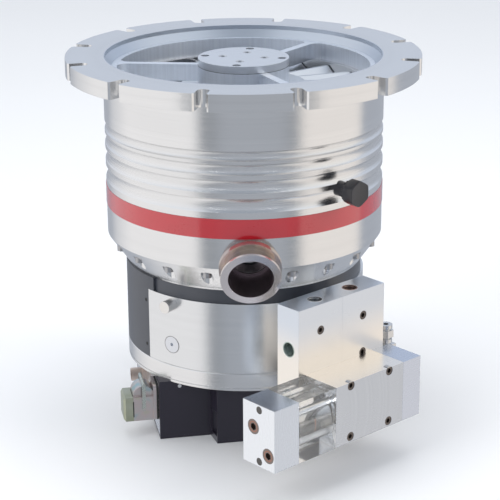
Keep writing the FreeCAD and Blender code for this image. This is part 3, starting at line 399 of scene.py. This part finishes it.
def lathe_finish(tone, marks=2600.0, depth=0.00008, rough=0.17):
    """A build function for turned metal of a tone, with so many tool marks to the metre."""
    def build(shop):
        radius, along, where = lathe_coordinates(shop)
        rings = shop.vector(radius, along, 0.0)
        fine = shop.noise(rings, marks, 2.0, 0.6)
        broad = shop.noise(rings, marks * 0.06)
        cloud = shop.noise(where, 14.0, 3.0, 0.55)
        shade = (fine - 0.5) * 0.10 + (broad - 0.5) * 0.08 + (cloud - 0.5) * 0.06
        return {
            "Base Color": shop.tinted(tone, shade + 1.0),
            "Roughness": (rough + (fine - 0.5) * 0.12 + (cloud - 0.5) * 0.08).clamp(),
            "Normal": shop.bump(fine, 0.6, depth),
        }
    return build


# %% Housings, star and shaft
funnel_radius = 0.1313
funnel_foot = 0.330
ribs_start, ribs_end = (0.236, 0.242), (0.299, 0.293)
star_strokes = (330.0, 330.0, 9.0)


def housing_finish(shop):
    """Turned metal; the ribs and the inlet's funnel are duller, and the funnel has a painted
    reflection.
    """
    made = lathe_finish((0.82, 0.82, 0.82))(shop)
    radius, _, where = lathe_coordinates(shop)
    height = shop.parts(where)[2]
    in_funnel = (radius < funnel_radius) * (height > funnel_foot)
    on_ribs = height.between(*ribs_start) * height.between(*ribs_end)
    # painted reflection: the funnel's bluish grey stands in for the dim studio that it mirrors
    made["Base Color"] = shop.mix(in_funnel, made["Base Color"], (0.60, 0.65, 0.72, 1.0))
    made["Roughness"] = (made["Roughness"] + in_funnel * 0.16 + on_ribs * 0.09).clamp()
    return made


def star_finish(shop):
    """Milled metal of the inlet star: the cutter's strokes run up and down its walls."""
    made = lathe_finish((0.86, 0.90, 0.96), marks=1800.0, depth=0.00001, rough=0.44)(shop)
    upright = shop.noise(shop.stretched(shop.where(), star_strokes), 1.0)
    made["Base Color"] = shop.tinted(made["Base Color"], upright * 0.24 + 0.88)
    return made


dress("turned_aluminium", housing_finish, "pump_housing", "exhaust_housing", Metallic=1.0)
dress("base_ring_aluminium", lathe_finish((0.80, 0.80, 0.80), rough=0.2), "base_plate",
      Metallic=1.0)
dress("jacket_aluminium", lathe_finish((0.78, 0.79, 0.80), rough=0.2), "cooling_jacket",
      Metallic=1.0)
dress("star_aluminium", star_finish, "bearing_star", Metallic=1.0)
dress("cover_aluminium", lathe_finish((0.84, 0.86, 0.89), depth=0.00002, rough=0.30),
      "hub_cover", Metallic=1.0)
dress("shaft_steel", lathe_finish((0.62, 0.62, 0.63), rough=0.2),
      "rotor_shaft", "safety_bearing", "bearing_outer_ring", "bearing_inner_ring",
      "spacer_rings", "drag_stator", "vent_stem", Metallic=1.0)
print("turned finishes done")

# %% [markdown]
# ## The fore-vacuum port
# The port is turned stainless steel that was welded to its collar. Heat leaves straw and rose
# tints on the neck, and the bore is duller inside; its darker colour is painted shade. Both
# depend on where a point lies about the port's own tilted axis, so two masks pick the colour:
# one by the distance from the axis for the bore, one by the distance behind the face for the
# neck.

# %% Steel of the port
port_tilt = math.radians(19.0)
port_axis = (0.0, -math.cos(port_tilt), -math.sin(port_tilt))
port_point = (0.0, -0.150, 0.182)
port_bore_radius = 0.0205
neck_front, neck_back = (-0.0052, -0.0068), (-0.024, -0.021)


def port_finish(shop):
    """Turned steel with heat tints on the neck; the bore is duller, and its darker colour is
    painted shade.
    """
    radius, along, where = lathe_coordinates(shop, port_point, port_axis)
    fine = shop.noise(shop.vector(radius, along, 0.0), 2600.0)
    cloud = shop.noise(where, 60.0)
    in_bore = 1.0 - radius.between(port_bore_radius + 0.0001, port_bore_radius + 0.0004)
    on_neck = along.between(*neck_front) * along.between(*neck_back)
    steel = (0.86, 0.79, 0.77, 1.0)
    heat = shop.mix(cloud.between(0.4, 0.6), (0.52, 0.44, 0.36, 1.0), (0.46, 0.38, 0.37, 1.0))
    outside = shop.mix(on_neck * 0.7, steel, heat)
    # painted shade: the bore's dark brownish colour stands in for the shade inside it
    inside = shop.mix(cloud, (0.30, 0.25, 0.27, 1.0), (0.42, 0.36, 0.38, 1.0))
    return {
        "Base Color": shop.mix(in_bore, outside, inside),
        "Roughness": (in_bore * 0.26 + 0.20 + (fine - 0.5) * 0.10).clamp(),
        "Normal": shop.bump(fine, 0.5, 0.00002),
    }


dress("port_steel", port_finish, "foreline_port", Metallic=1.0)
print("port dressed")

# %% [markdown]
# ## Milled and moulded finishes
# Flat pieces are milled: fine strokes run in one direction. The strokes are noise that is
# stretched along that direction, so the helper turns the coordinates first. Large flat blocks
# mirror the studio as soft zones, light grey above and cream below, which a mix by height
# paints in on the manifold as a painted reflection; a face mill also leaves faint arcs about a
# point. The oil pump stands at an angle, so places on it are given in its own directions and
# turned by a small function.

# %% Directions of the oil pump and the box
block_angle = math.radians(40.0)
box_angle = math.radians(8.5)


def block_place(across, deep, height):
    """A place given in the oil pump's own directions, turned by its angle."""
    x = across * math.cos(block_angle) - deep * math.sin(block_angle)
    y = across * math.sin(block_angle) + deep * math.cos(block_angle)
    return np.array((x, y, height))


block_across = block_place(1.0, 0.0, 0.0)
block_inward = block_place(0.0, 1.0, 0.0)
print("the oil pump runs along", block_across.round(3))

# %% Milled metal
block_strokes = (60.0, 900.0, 900.0)
end_block_strokes = (1800.0, 1800.0, 40.0)
# heights over which the manifold's painted reflection turns from cream to grey
manifold_painted_reflection_heights = (0.105, 0.150)
mill_centre = (-0.120, 0.069)
pump_block_seat = 0.09786
end_face_reach = 0.14866


def milled_finish(tone, turned_by=0.0, rough=0.28, strokes=block_strokes, upper=None,
                  painted_reflection_heights=(0.0, 1.0), arcs=None):
    """A build function for milled metal with strokes along a turned X direction.

    The tone changes to an upper one over a band of heights, which paints in a reflection of
    the studio, and arcs go round a point that is given across and up.
    """
    def build(shop):
        where = shop.where()
        lined_up = shop.node("ShaderNodeMapping", 0, named={
            "Vector": where, "Rotation": (0.0, 0.0, -turned_by)}, vector_type="POINT")
        across, _, height = shop.parts(lined_up)
        fine = shop.noise(shop.stretched(lined_up, strokes), 1.0, 2.0, 0.6)
        cloud = shop.noise(where, 12.0)
        shade = (fine - 0.5) * 0.03 + (cloud - 0.5) * 0.05
        if arcs:
            ring = ((across - arcs[0]) ** 2.0 + (height - arcs[1]) ** 2.0).math("SQRT")
            shade = shade + (shop.noise(shop.vector(ring, 0.0, 0.0), 260.0) - 0.5) * 0.14
        colour = shop.mix(height.between(*painted_reflection_heights), tone + (1.0,), (upper or tone) + (1.0,))
        return {
            "Base Color": shop.tinted(colour, shade + 1.0),
            "Roughness": (rough + (fine - 0.5) * 0.08 + (cloud - 0.5) * 0.06).clamp(),
            "Normal": shop.bump(fine, 0.12, 0.000004),
        }
    return build


def pump_block_finish(shop):
    """Milled metal with arcs on the front; above the height of the manifold's seat it is lighter
    and warmer.
    """
    made = milled_finish((0.57, 0.61, 0.67), block_angle, 0.26, arcs=mill_centre)(shop)
    on_seat = shop.parts(shop.where())[2] > pump_block_seat
    made["Base Color"] = shop.mix(on_seat, made["Base Color"], (0.96, 0.92, 0.87, 1.0))
    return made


def end_block_finish(shop):
    """Milled metal with upright strokes; the end face is a lighter tone than the sides."""
    made = milled_finish((0.64, 0.70, 0.79), block_angle, 0.26, end_block_strokes)(shop)
    on_end = shop.dot(shop.where(), tuple(-block_across)) > end_face_reach
    made["Base Color"] = shop.mix(on_end, made["Base Color"], (0.88, 0.91, 0.95, 1.0))
    return made


dress("rotor_aluminium", milled_finish((0.78, 0.81, 0.85), rough=0.36),
      "rotor", "stator_disc_1", "stator_disc_2", "stator_disc_3", "stator_disc_4", Metallic=1.0)
# painted reflection: cream below and light grey above stand in for the studio the manifold
# mirrors
dress("manifold_aluminium_painted_reflection", milled_finish(
          (0.95, 0.90, 0.83), block_angle, 0.30, upper=(0.72, 0.77, 0.84), painted_reflection_heights=manifold_painted_reflection_heights),
      "manifold_left_block", "manifold_right_block", "manifold_pad", Metallic=1.0)
dress("pump_block_aluminium", pump_block_finish, "fluid_pump_block", Metallic=1.0)
dress("rear_block_aluminium", milled_finish((0.62, 0.67, 0.77), block_angle, 0.26),
      "rear_end_block", Metallic=1.0)
dress("end_block_aluminium", end_block_finish, "end_block", Metallic=1.0)
dress("panel_aluminium", milled_finish((0.84, 0.85, 0.87), box_angle), "connector_panel",
      Metallic=1.0)
print("milled finishes done")

# %% [markdown]
# ## Paint, plastic, rubber and the rest
# Cast, moulded, painted and anodised surfaces share an even grain. The red band is lacquered,
# so it gets a clear coat. Small parts need their own colours: the jacket's plug is outlined by
# the gap round it, the oil plugs have a red sealing ring, and the screws on the black cover are
# dark while those on the box are bright.

# %% Grained surfaces
grain_tint = 0.12


def grained_finish(tone, rough=0.4, grain=900.0, depth=0.00002):
    """A build function for cast, moulded, painted or anodised surfaces with an even grain."""
    def build(shop):
        where = shop.where()
        fine = shop.noise(where, grain, 2.0, 0.6)
        cloud = shop.noise(where, 22.0, 3.0, 0.5)
        low = tuple(value * (1.0 - grain_tint) for value in tone) + (1.0,)
        high = tuple(min(value * (1.0 + grain_tint), 1.0) for value in tone) + (1.0,)
        return {
            "Base Color": shop.mix(cloud, low, high),
            "Roughness": (rough + (fine - 0.5) * 0.125 + (cloud - 0.5) * 0.10).clamp(),
            "Normal": shop.bump(fine, 0.4, depth),
        }
    return build


dress("band_lacquer", grained_finish((0.48, 0.006, 0.016), 0.30, depth=0.000004),
      "colour_band", Coat_Weight=1.0, Coat_IOR=1.75, Coat_Roughness=0.06)
dress("box_anodised", grained_finish((0.020, 0.017, 0.029), 0.36),
      "electronics_housing", "electronics_lid", Specular_IOR_Level=0.5)
dress("base_anodised", grained_finish((0.046, 0.051, 0.064), 0.34),
      "base_body", "side_cover", Specular_IOR_Level=0.7)
dress("sleeve_black", grained_finish((0.020, 0.018, 0.022), 0.30),
      "vent_valve_body", "vent_cap", Specular_IOR_Level=0.6)
black_rubber = dress("black_rubber", grained_finish((0.02, 0.02, 0.02), 0.6),
                     "housing_seal", "power_gasket")
dress("recessed_screws", grained_finish((0.46, 0.46, 0.47), 0.34), "housing_bolts",
      Metallic=1.0)
dress("cover_screws", grained_finish((0.62, 0.64, 0.67), 0.36), "hub_cover_screws",
      Metallic=1.0)
dress("bright_steel", grained_finish((0.70, 0.70, 0.70), 0.20, depth=0.000006),
      "fluid_piston", "elbow_fitting", Metallic=1.0)
dress("pin_steel", grained_finish((0.84, 0.82, 0.79), 0.40, depth=0.000006), "jacket_pin",
      Metallic=1.0)
dress("dowel_steel", grained_finish((0.13, 0.125, 0.12), 0.40), "dowels", Metallic=0.9)
dress("dark_magnet", grained_finish((0.16, 0.16, 0.17), 0.4),
      "stator_magnets", "rotor_magnets", "motor_magnet", "motor_stator", Metallic=1.0)
dress("woven_drum", grained_finish((0.03, 0.03, 0.03), 0.4, 300.0), "drag_drum")
dress("copper", grained_finish((0.60, 0.27, 0.12), 0.3, 400.0, 0.0001), "motor_windings",
      Metallic=1.0)
dress("ceramic", grained_finish((0.07, 0.07, 0.07), 0.12), "bearing_balls")
dress("cage_resin", grained_finish((0.25, 0.13, 0.06), 0.5), "bearing_cage")
dress("felt", grained_finish((0.62, 0.60, 0.50), 0.9, 500.0, 0.0004), "oil_felt")
dress("board_resin", grained_finish((0.02, 0.16, 0.07), 0.35), "circuit_board")
dress("clear_acrylic", grained_finish((0.90, 0.92, 0.92), 0.06, depth=0.000002), "reservoir",
      Transmission_Weight=0.92, IOR=1.45)
print("grained finishes done")

# %% Two-tone small parts
cover_foot = 0.070
head_above, head_before = 0.0978, -0.170
plug_angle = math.radians(-38.8)
plug_height = 0.097
plug_gap = (0.0077, 0.0080)
oil_plugs = ((-0.1744, 0.0754), (-0.1931, 0.0534))
ring_inside, ring_outside = (0.0040, 0.0042), (0.0049, 0.0051)


def small_screw_finish(shop):
    """Dark screws on the cover above, bright ones on the electronics box below."""
    where = shop.where()
    grain = shop.noise(where, 900.0)
    on_cover = shop.parts(where)[2] > cover_foot
    return {
        "Base Color": shop.mix(on_cover, grey(0.75), grey(0.030)),
        "Roughness": (grain * 0.12 + 0.26).clamp(),
        "Normal": shop.bump(grain, 0.3, 0.00001, 0.0002),
    }


def block_screw_finish(shop):
    """Oil pump screws, black oxide with painted pocket shade; bright where a head clears the top.
    """
    where = shop.where()
    grain = shop.noise(where, 900.0)
    deep = shop.dot(where, tuple(block_inward))
    showing = (shop.parts(where)[2] > head_above) * (deep < head_before)
    return {
        # painted shade: the dark brown stands partly for the shade in the screws' pockets
        "Base Color": shop.mix(showing, (0.15, 0.13, 0.12, 1.0), grey(0.60)),
        "Roughness": (grain * 0.14 + 0.22).clamp(),
        "Normal": shop.bump(grain, 0.3, 0.00001, 0.0003),
    }


def plug_finish(shop):
    """The jacket's flush plug: turned about its own axis, with a dark gap at its rim."""
    axis = (math.sin(plug_angle), -math.cos(plug_angle), 0.0)
    radius = lathe_coordinates(shop, (0.0, 0.0, plug_height), axis)[0]
    rings = shop.noise(shop.vector(radius, 0.0, 0.0), 1500.0)
    gap = radius.between(*plug_gap)
    return {
        "Base Color": shop.mix(gap, (0.74, 0.76, 0.80, 1.0), grey(0.34)),
        "Roughness": (rings * 0.2 + 0.16 + gap * 0.2).clamp(),
        "Normal": shop.bump(rings, 0.5, 0.00002, 0.0002),
    }


def oil_plug_finish(shop):
    """Two dark screwed plugs, each with a red sealing ring about its own axis."""
    upper, lower = [
        lathe_coordinates(shop, tuple(block_place(0.0, deep, height)), tuple(block_across))[0]
        for deep, height in oil_plugs]
    radius = upper.math("MINIMUM", lower)
    ring = radius.between(*ring_inside) * (1.0 - radius.between(*ring_outside))
    grain = shop.noise(shop.vector(radius, 0.0, 0.0), 900.0)
    return {
        "Base Color": shop.mix(ring, (0.26, 0.22, 0.20, 1.0), (0.36, 0.15, 0.10, 1.0)),
        "Roughness": (grain * 0.16 + 0.30).clamp(),
        "Metallic": 1.0 - ring * 0.6,
        "Normal": shop.bump(grain, 0.5, 0.00002, 0.0003),
    }


dress("small_screw_steel", small_screw_finish, "small_screws", Metallic=0.9)
dress("block_screw_steel", block_screw_finish, "block_screws", Metallic=1.0)
dress("plug_aluminium", plug_finish, "jacket_plug", Metallic=1.0)
dress("oil_plug_bronze", oil_plug_finish, "filler_plugs")
print("two-tone parts done")

# %% [markdown]
# ## Passivated zinc
# The connectors are zinc castings with a thin passivation film, which shows patches of straw,
# green, blue and rose. A ramp over soft noise gives such patches; the castings differ in the
# ramp's stops, and a little in gloss.

# %% Zinc castings
def zinc_finish(stops, rough=0.34):
    """A build function for cast zinc whose film changes colour along a ramp of stops."""
    def build(shop):
        where = shop.where()
        patches = shop.noise(where, 70.0)
        grain = shop.noise(where, 1100.0)
        count = len(stops) - 1
        ramp = [(0.30 + 0.40 * index / count, stop + (1.0,)) for index, stop in enumerate(stops)]
        return {
            "Base Color": shop.node("ShaderNodeValToRGB", 0, [patches], ramp=ramp),
            "Roughness": (grain * 0.16 + (rough - 0.08)).clamp(),
            "Normal": shop.bump(grain, 0.4, 0.00002),
        }
    return build


power_film = [(0.42, 0.58, 0.60), (0.66, 0.62, 0.60), (0.70, 0.60, 0.58), (0.60, 0.64, 0.44)]
dress("power_zinc", zinc_finish(power_film), "power_housing", Metallic=1.0)
dress("cap_zinc", zinc_finish([(0.36, 0.38, 0.27), (0.44, 0.46, 0.38)]), "power_cap",
      Metallic=0.6)
dress("lever_zinc", zinc_finish([(0.56, 0.64, 0.60), (0.66, 0.64, 0.56)], 0.28),
      "locking_lever", Metallic=1.0)
dress("data_zinc", zinc_finish([(0.62, 0.52, 0.46), (0.74, 0.62, 0.54)]), "data_connector",
      Metallic=0.9)
bare = [name for name, piece in nodes.items() if not piece.data.materials]
print("materials:", len(bpy.data.materials), "bare solids:", bare)

# %% [markdown]
# ## New pieces from arrays
# Every new piece is a grid of points that numpy works out at once. A grid can close in either
# direction: a ring closes in both, a capped shape ends in rows whose points meet at a pole.
# Points that coincide are merged, which closes seams and poles, and the normals are then made
# to face outwards.

# %% Grids, axes and rings
up = np.array((0.0, 0.0, 1.0))
merge_distance = 1e-7
closed_round, closed_both_ways = (False, True), (True, True)
sharp_angle = math.radians(35.0)


def grid_faces(rows, columns, wrap_rows, wrap_columns):
    """Corner numbers of the quads between neighbouring rows and columns of a grid."""
    numbers = np.arange(rows * columns).reshape(rows, columns)
    if wrap_rows:
        numbers = np.vstack([numbers, numbers[:1]])
    if wrap_columns:
        numbers = np.hstack([numbers, numbers[:, :1]])
    corners = (numbers[:-1, :-1], numbers[1:, :-1], numbers[1:, 1:], numbers[:-1, 1:])
    return np.stack(corners, axis=-1).reshape(-1, 4)


def new_piece(name, grid, material, body, wrap=closed_both_ways):
    """A mesh object from a grid of points (rows, columns, 3), riding on a body."""
    faces = grid_faces(grid.shape[0], grid.shape[1], *wrap)
    mesh = bpy.data.meshes.new(name)
    mesh.from_pydata(grid.reshape(-1, 3).tolist(), [], faces.tolist())
    work = bmesh.new()
    work.from_mesh(mesh)
    bmesh.ops.remove_doubles(work, verts=work.verts, dist=merge_distance)
    bmesh.ops.recalc_face_normals(work, faces=work.faces)
    work.to_mesh(mesh)
    work.free()
    mesh.shade_smooth()
    mesh.set_sharp_from_angle(angle=sharp_angle)
    mesh.materials.append(material)
    piece = bpy.data.objects.new(name, mesh)
    scene.collection.objects.link(piece)
    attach(piece, body)
    return piece


def full_turn(steps):
    """Angles of one whole turn, without the last, which is the first again."""
    return np.linspace(0.0, 2.0 * math.pi, steps, endpoint=False)


def turned_profile(profile, steps):
    """Radius, distance along and angle of each point of a (radius, along) profile's turn."""
    profile = np.array(profile, dtype=float)
    radius, turn_angle = np.meshgrid(profile[:, 0], full_turn(steps), indexing="ij")
    return radius, np.repeat(profile[:, 1:], steps, axis=1), turn_angle


def about_axis(point, way, radius, along, turn_angle):
    """Points p + r (cos t . side + sin t . top) + h . way, for arrays r, h and t of one shape."""
    way = np.array(way, dtype=float) / np.linalg.norm(way)
    side = np.cross(up if abs(way[2]) < 0.9 else (1.0, 0.0, 0.0), way)
    side = side / np.linalg.norm(side)
    top = np.cross(way, side)
    circle = np.cos(turn_angle)[..., None] * side + np.sin(turn_angle)[..., None] * top
    return np.array(point) + radius[..., None] * circle + along[..., None] * way


def revolved(point, way, profile, steps=96):
    """A profile of (radius, along) rows carried round an axis."""
    return about_axis(point, way, *turned_profile(profile, steps))


def round_section(radius, along, tube, steps=12):
    """The profile of a ring of round section: a circle of tube size about (radius, along)."""
    angles = full_turn(steps)
    return np.stack([radius + tube * np.cos(angles), along + tube * np.sin(angles)], axis=1)


print("helpers for new pieces ready")

# %% [markdown]
# ## The vent knob
# The black knob is a moulded hexagon with rounded corners and a small collar of ribs behind it.
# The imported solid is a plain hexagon, so this piece stands in its place. Its outline is a
# function of the angle t: the distance to a flat is a/cos(t) within each sixth of a turn, and a
# circle cuts the corners. A soft minimum of the two, -s log(exp(-flat/s) + exp(-corner/s)),
# rounds the edge where they meet. The profile shrinks that outline towards both ends.

# %% Mould the knob
vent_angle = math.radians(39.0)
vent_way = (math.sin(vent_angle), -math.cos(vent_angle), 0.0)
vent_reach, vent_height = 0.1418, 0.2512
vent_foot = np.array(vent_way) * vent_reach + up * vent_height
knob_flats, knob_corner, knob_softness = 0.0226, 0.0124, 0.0004
knob_profile = [
    (0.00, 0.0042), (0.90, 0.0042), (0.97, 0.0046), (1.00, 0.0054), (1.00, 0.0140),
    (0.985, 0.0150), (0.95, 0.0156), (0.90, 0.0158), (0.86, 0.0156), (0.00, 0.0156)]
collar_profile = [
    (0.0040, 0.0), (0.0088, 0.0), (0.0096, 0.0006), (0.0096, 0.0040), (0.0040, 0.0040)]
collar_ribs, rib_height, ribbed_above = 18, 0.035, 0.007


def knob_outline(turn_angle):
    """Distance to the edge of a hexagon with rounded corners, the soft minimum named above."""
    sixth = np.mod(turn_angle + math.pi / 6.0, math.pi / 3.0) - math.pi / 6.0
    flat = 0.5 * knob_flats / np.cos(sixth)
    return -knob_softness * np.log(
        np.exp(-flat / knob_softness) + np.exp(-knob_corner / knob_softness))


def knob_grid(steps=144):
    """Rows of the outline, scaled and set along the axis by a profile with rounded ends."""
    scale, along, turn_angle = turned_profile(knob_profile, steps)
    return about_axis(vent_foot, vent_way, scale * knob_outline(turn_angle), along, turn_angle)


def collar_grid(steps=180):
    """A ring whose outside waves with the angle: r (1 + rib_height cos(collar_ribs t))."""
    base, along, turn_angle = turned_profile(collar_profile, steps)
    wave = rib_height * np.cos(collar_ribs * turn_angle) * (base > ribbed_above)
    return about_axis(vent_foot, vent_way, base * (1.0 + wave), along, turn_angle)


knob_plastic = finish_material(
    "knob_plastic", grained_finish((0.028, 0.027, 0.030), 0.32), Specular_IOR_Level=0.6)
vent_knob_piece = new_piece(
    "vent_knob_moulded", knob_grid(), knob_plastic, "vent_knob", closed_round)
vent_collar = new_piece(
    "vent_knob_collar", collar_grid(), knob_plastic, "vent_knob")
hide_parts("vent_cap")
print("knob faces:", len(vent_knob_piece.data.polygons),
      "collar faces:", len(vent_collar.data.polygons))

# %% [markdown]
# ## Threads in the gas ports
# The manifold's three ports are threaded. A screw thread is one surface of two parameters, the
# angle t and the depth h: its radius waves with h/pitch - t/(2 pi), so the ridge climbs by one
# pitch in each turn. The ring that holds the thread closes on itself outside and at its mouth.

# %% Cut the threads
thread_outer, thread_inner = 0.0065, 0.0058
thread_pitch, thread_depth, thread_start = 0.0013, 0.0100, 0.0006
thread_fill = 0.75
thread_lip = 0.0001
rim_section = [
    (0.0060, -0.0012), (0.0065, -0.0012), (0.0065, -0.0001),
    (0.0074, -0.0001), (0.0074, 0.0001), (0.0066, 0.0002)]
manifold_front, port_setback = -0.1612, 0.013
port_deep = manifold_front + port_setback
manifold_top, side_port_height = 0.1605, 0.1206
left_port_across, right_port_across, manifold_left_face = -0.0496, -0.0048, -0.0817


def thread_grid(mouth, way, rows=90, steps=72):
    """A ring whose inside is r = inner + ridge |sin(pi (h/pitch - t/2pi))|, closed outside."""
    levels = np.linspace(-thread_start, -thread_depth, rows)
    along, turn_angle = np.meshgrid(levels, full_turn(steps), indexing="ij")
    ridge = np.abs(np.sin(math.pi * (along / thread_pitch - turn_angle / (2.0 * math.pi))))
    inside = thread_inner + (thread_outer - thread_inner) * thread_fill * ridge
    outer_along = np.repeat(np.array([[-thread_depth], [thread_lip]]), steps, axis=1)
    return about_axis(
        mouth, way, np.vstack([inside, np.full((2, steps), thread_outer)]),
        np.vstack([along, outer_along]), np.vstack([turn_angle, turn_angle[:2]]))


def zinc_material(name, dark, light, rough=0.26):
    """A passivated zinc between two tones."""
    return finish_material(name, zinc_finish([dark, light], rough), Metallic=1.0)


# painted shade: dark thread tones; painted reflection: the brown and green hues of threads and
# rims
painted_shade_thread_materials = (
    zinc_material("silver_thread_painted_shade", (0.14, 0.15, 0.16), (0.24, 0.25, 0.26)),
    zinc_material("brown_thread_painted_shade_and_reflection", (0.10, 0.065, 0.055), (0.18, 0.12, 0.10)),
    zinc_material("green_thread_painted_shade_and_reflection", (0.12, 0.16, 0.14), (0.24, 0.30, 0.27)))
rim_materials = (
    zinc_material("rim_silver", (0.84, 0.86, 0.87), (0.94, 0.95, 0.95), 0.30),
    zinc_material("rim_brown_painted_reflection", (0.52, 0.38, 0.34), (0.66, 0.50, 0.45)),
    zinc_material("rim_green_painted_reflection", (0.48, 0.58, 0.52), (0.64, 0.72, 0.68)))
gas_ports = (
    ("gas_port_thread_left", block_place(left_port_across, port_deep, manifold_top), up),
    ("gas_port_thread_right", block_place(right_port_across, port_deep, manifold_top), up),
    ("gas_port_thread_side",
     block_place(manifold_left_face, port_deep, side_port_height), -block_across))
for (name, mouth, way), thread, rim in zip(gas_ports, painted_shade_thread_materials, rim_materials):
    new_piece(name, thread_grid(mouth, way), thread, "pump")
    rim_ring = revolved(mouth, way, rim_section, steps=72)
    new_piece(name + "_rim", rim_ring, rim, "pump")
print("threads:", len(gas_ports))

# %% [markdown]
# ## Inside the clear reservoir
# Through the acrylic one sees the lying round chamber: oil up to its level, a black sealing
# ring at either end and a brown mark for the level. The oil is a round section cut off by a
# level line, carried along the chamber and closed at both ends.

# %% Oil, seals and level mark
chamber_across, chamber_deep, chamber_height = -0.1196, -0.1812, 0.06875
chamber_start = block_place(chamber_across, chamber_deep, chamber_height)
chamber_side = np.cross(up, block_across)
oil_radius, oil_level = 0.0176, 0.002
oil_start, oil_end = 0.0006, 0.0449
seal_radius, seal_tube = 0.0171, 0.0009
seal_front, seal_rear = 0.0020, 0.0425
mark_radius, mark_lift = 0.0174, 0.0002
mark_middle, mark_half = 0.0215, 0.0008
mark_from, mark_to = math.radians(-28.0), math.radians(22.0)


def oil_grid(steps=72):
    """The part of a lying circle below a level: arc then chord, carried along, with end poles."""
    reach = math.acos(oil_level / oil_radius)
    arc = np.linspace(reach, 2.0 * math.pi - reach, steps)
    outline = oil_radius * (np.sin(arc)[:, None] * chamber_side + np.cos(arc)[:, None] * up)
    centre = -0.5 * oil_radius * up
    rows = []
    for along, size in ((oil_start, 0.0), (oil_start, 1.0), (oil_end, 1.0), (oil_end, 0.0)):
        rows.append(chamber_start + block_across * along + centre + (outline - centre) * size)
    return np.stack(rows)


def mark_grid(steps=24):
    """A thin curved strip on the chamber's wall: a flat box section swept over part of a turn."""
    section = np.array([
        (mark_radius, -mark_half), (mark_radius, mark_half),
        (mark_radius + mark_lift, mark_half), (mark_radius + mark_lift, -mark_half)])
    angles = np.linspace(mark_from, mark_to, steps)
    circle = np.sin(angles)[:, None] * up - np.cos(angles)[:, None] * chamber_side
    ring = circle[:, None, :] * section[None, :, :1]
    ring = ring + block_across * (mark_middle + section[None, :, 1:])
    first, last = [
        row.mean(axis=1, keepdims=True).repeat(4, axis=1) for row in (ring[:1], ring[-1:])]
    return chamber_start + np.concatenate([first, ring, last])


oil = finish_material("oil", grained_finish((0.50, 0.46, 0.40), 0.05, depth=0.000001),
                      Transmission_Weight=0.80, IOR=1.40)
mark_paint = finish_material("mark_paint", grained_finish((0.36, 0.16, 0.09), 0.5))
new_piece("reservoir_oil", oil_grid(), oil, "pump", closed_round)
for name, along in (("reservoir_seal_front", seal_front), ("reservoir_seal_rear", seal_rear)):
    seal = revolved(chamber_start, block_across, round_section(seal_radius, along, seal_tube))
    new_piece(name, seal, black_rubber, "pump")
new_piece(
    "reservoir_level_mark", mark_grid(), mark_paint, "pump", closed_round)
print("reservoir fitted")

# %% [markdown]
# ## Seams and seals
# Where two turned parts meet, a dark line shows. The hub's cover stands on the hub with such a
# line, and a black seal sits between the power connector and its cap. The first is a ring of
# round section. The second carries a round section along a rounded rectangle.

# %% Hub seam and cap seal
hub_seam_foot = (0.0, 0.0, 0.344)
hub_seam_radius, hub_seam_tube = 0.0429, 0.0003
box_half, gasket_thickness, hood_length = 0.0975, 0.002, 0.022
power_mouth = -box_half - gasket_thickness - hood_length
power_side, power_height = -0.056, 0.0295
cap_width, cap_height, cap_corner, cap_tube = 0.0246, 0.0226, 0.0043, 0.0009


def rounded_path(width, height, corner, steps=12):
    """Points and outward directions of a rounded rectangle: quarter circles about its centres."""
    quarter = np.linspace(0.0, 0.5 * math.pi, steps)
    angles = np.concatenate([quarter + 0.5 * math.pi * turns for turns in range(4)])
    sign_y = np.repeat((1, -1, -1, 1), steps)
    sign_z = np.repeat((1, 1, -1, -1), steps)
    out = np.stack([np.cos(angles), np.sin(angles)], axis=1)
    centre = np.stack(
        [sign_y * (0.5 * width - corner), sign_z * (0.5 * height - corner)], axis=1)
    return centre + corner * out, out


def seal_grid(steps=10):
    """A round section carried along the cap's rounded rectangle, turned with the box."""
    path, out = rounded_path(cap_width, cap_height, cap_corner)
    section = full_turn(steps)
    flat = path[:, None, :] + cap_tube * np.cos(section)[None, :, None] * out[:, None, :]
    x = np.broadcast_to(power_mouth + cap_tube * np.sin(section), flat.shape[:2])
    y, z = power_side + flat[..., 0], power_height + flat[..., 1]
    return np.stack([
        x * math.cos(box_angle) - y * math.sin(box_angle),
        x * math.sin(box_angle) + y * math.cos(box_angle), z], axis=-1)


seam_dark = finish_material("seam_dark", grained_finish((0.05, 0.05, 0.06), 0.5))
seam_section = round_section(hub_seam_radius, 0.0, hub_seam_tube, steps=8)
hub_seam = revolved(hub_seam_foot, up, seam_section, steps=144)
new_piece("hub_seam", hub_seam, seam_dark, "pump")
new_piece("power_cap_seal", seal_grid(), black_rubber, "pump")
print("seams and seals placed")
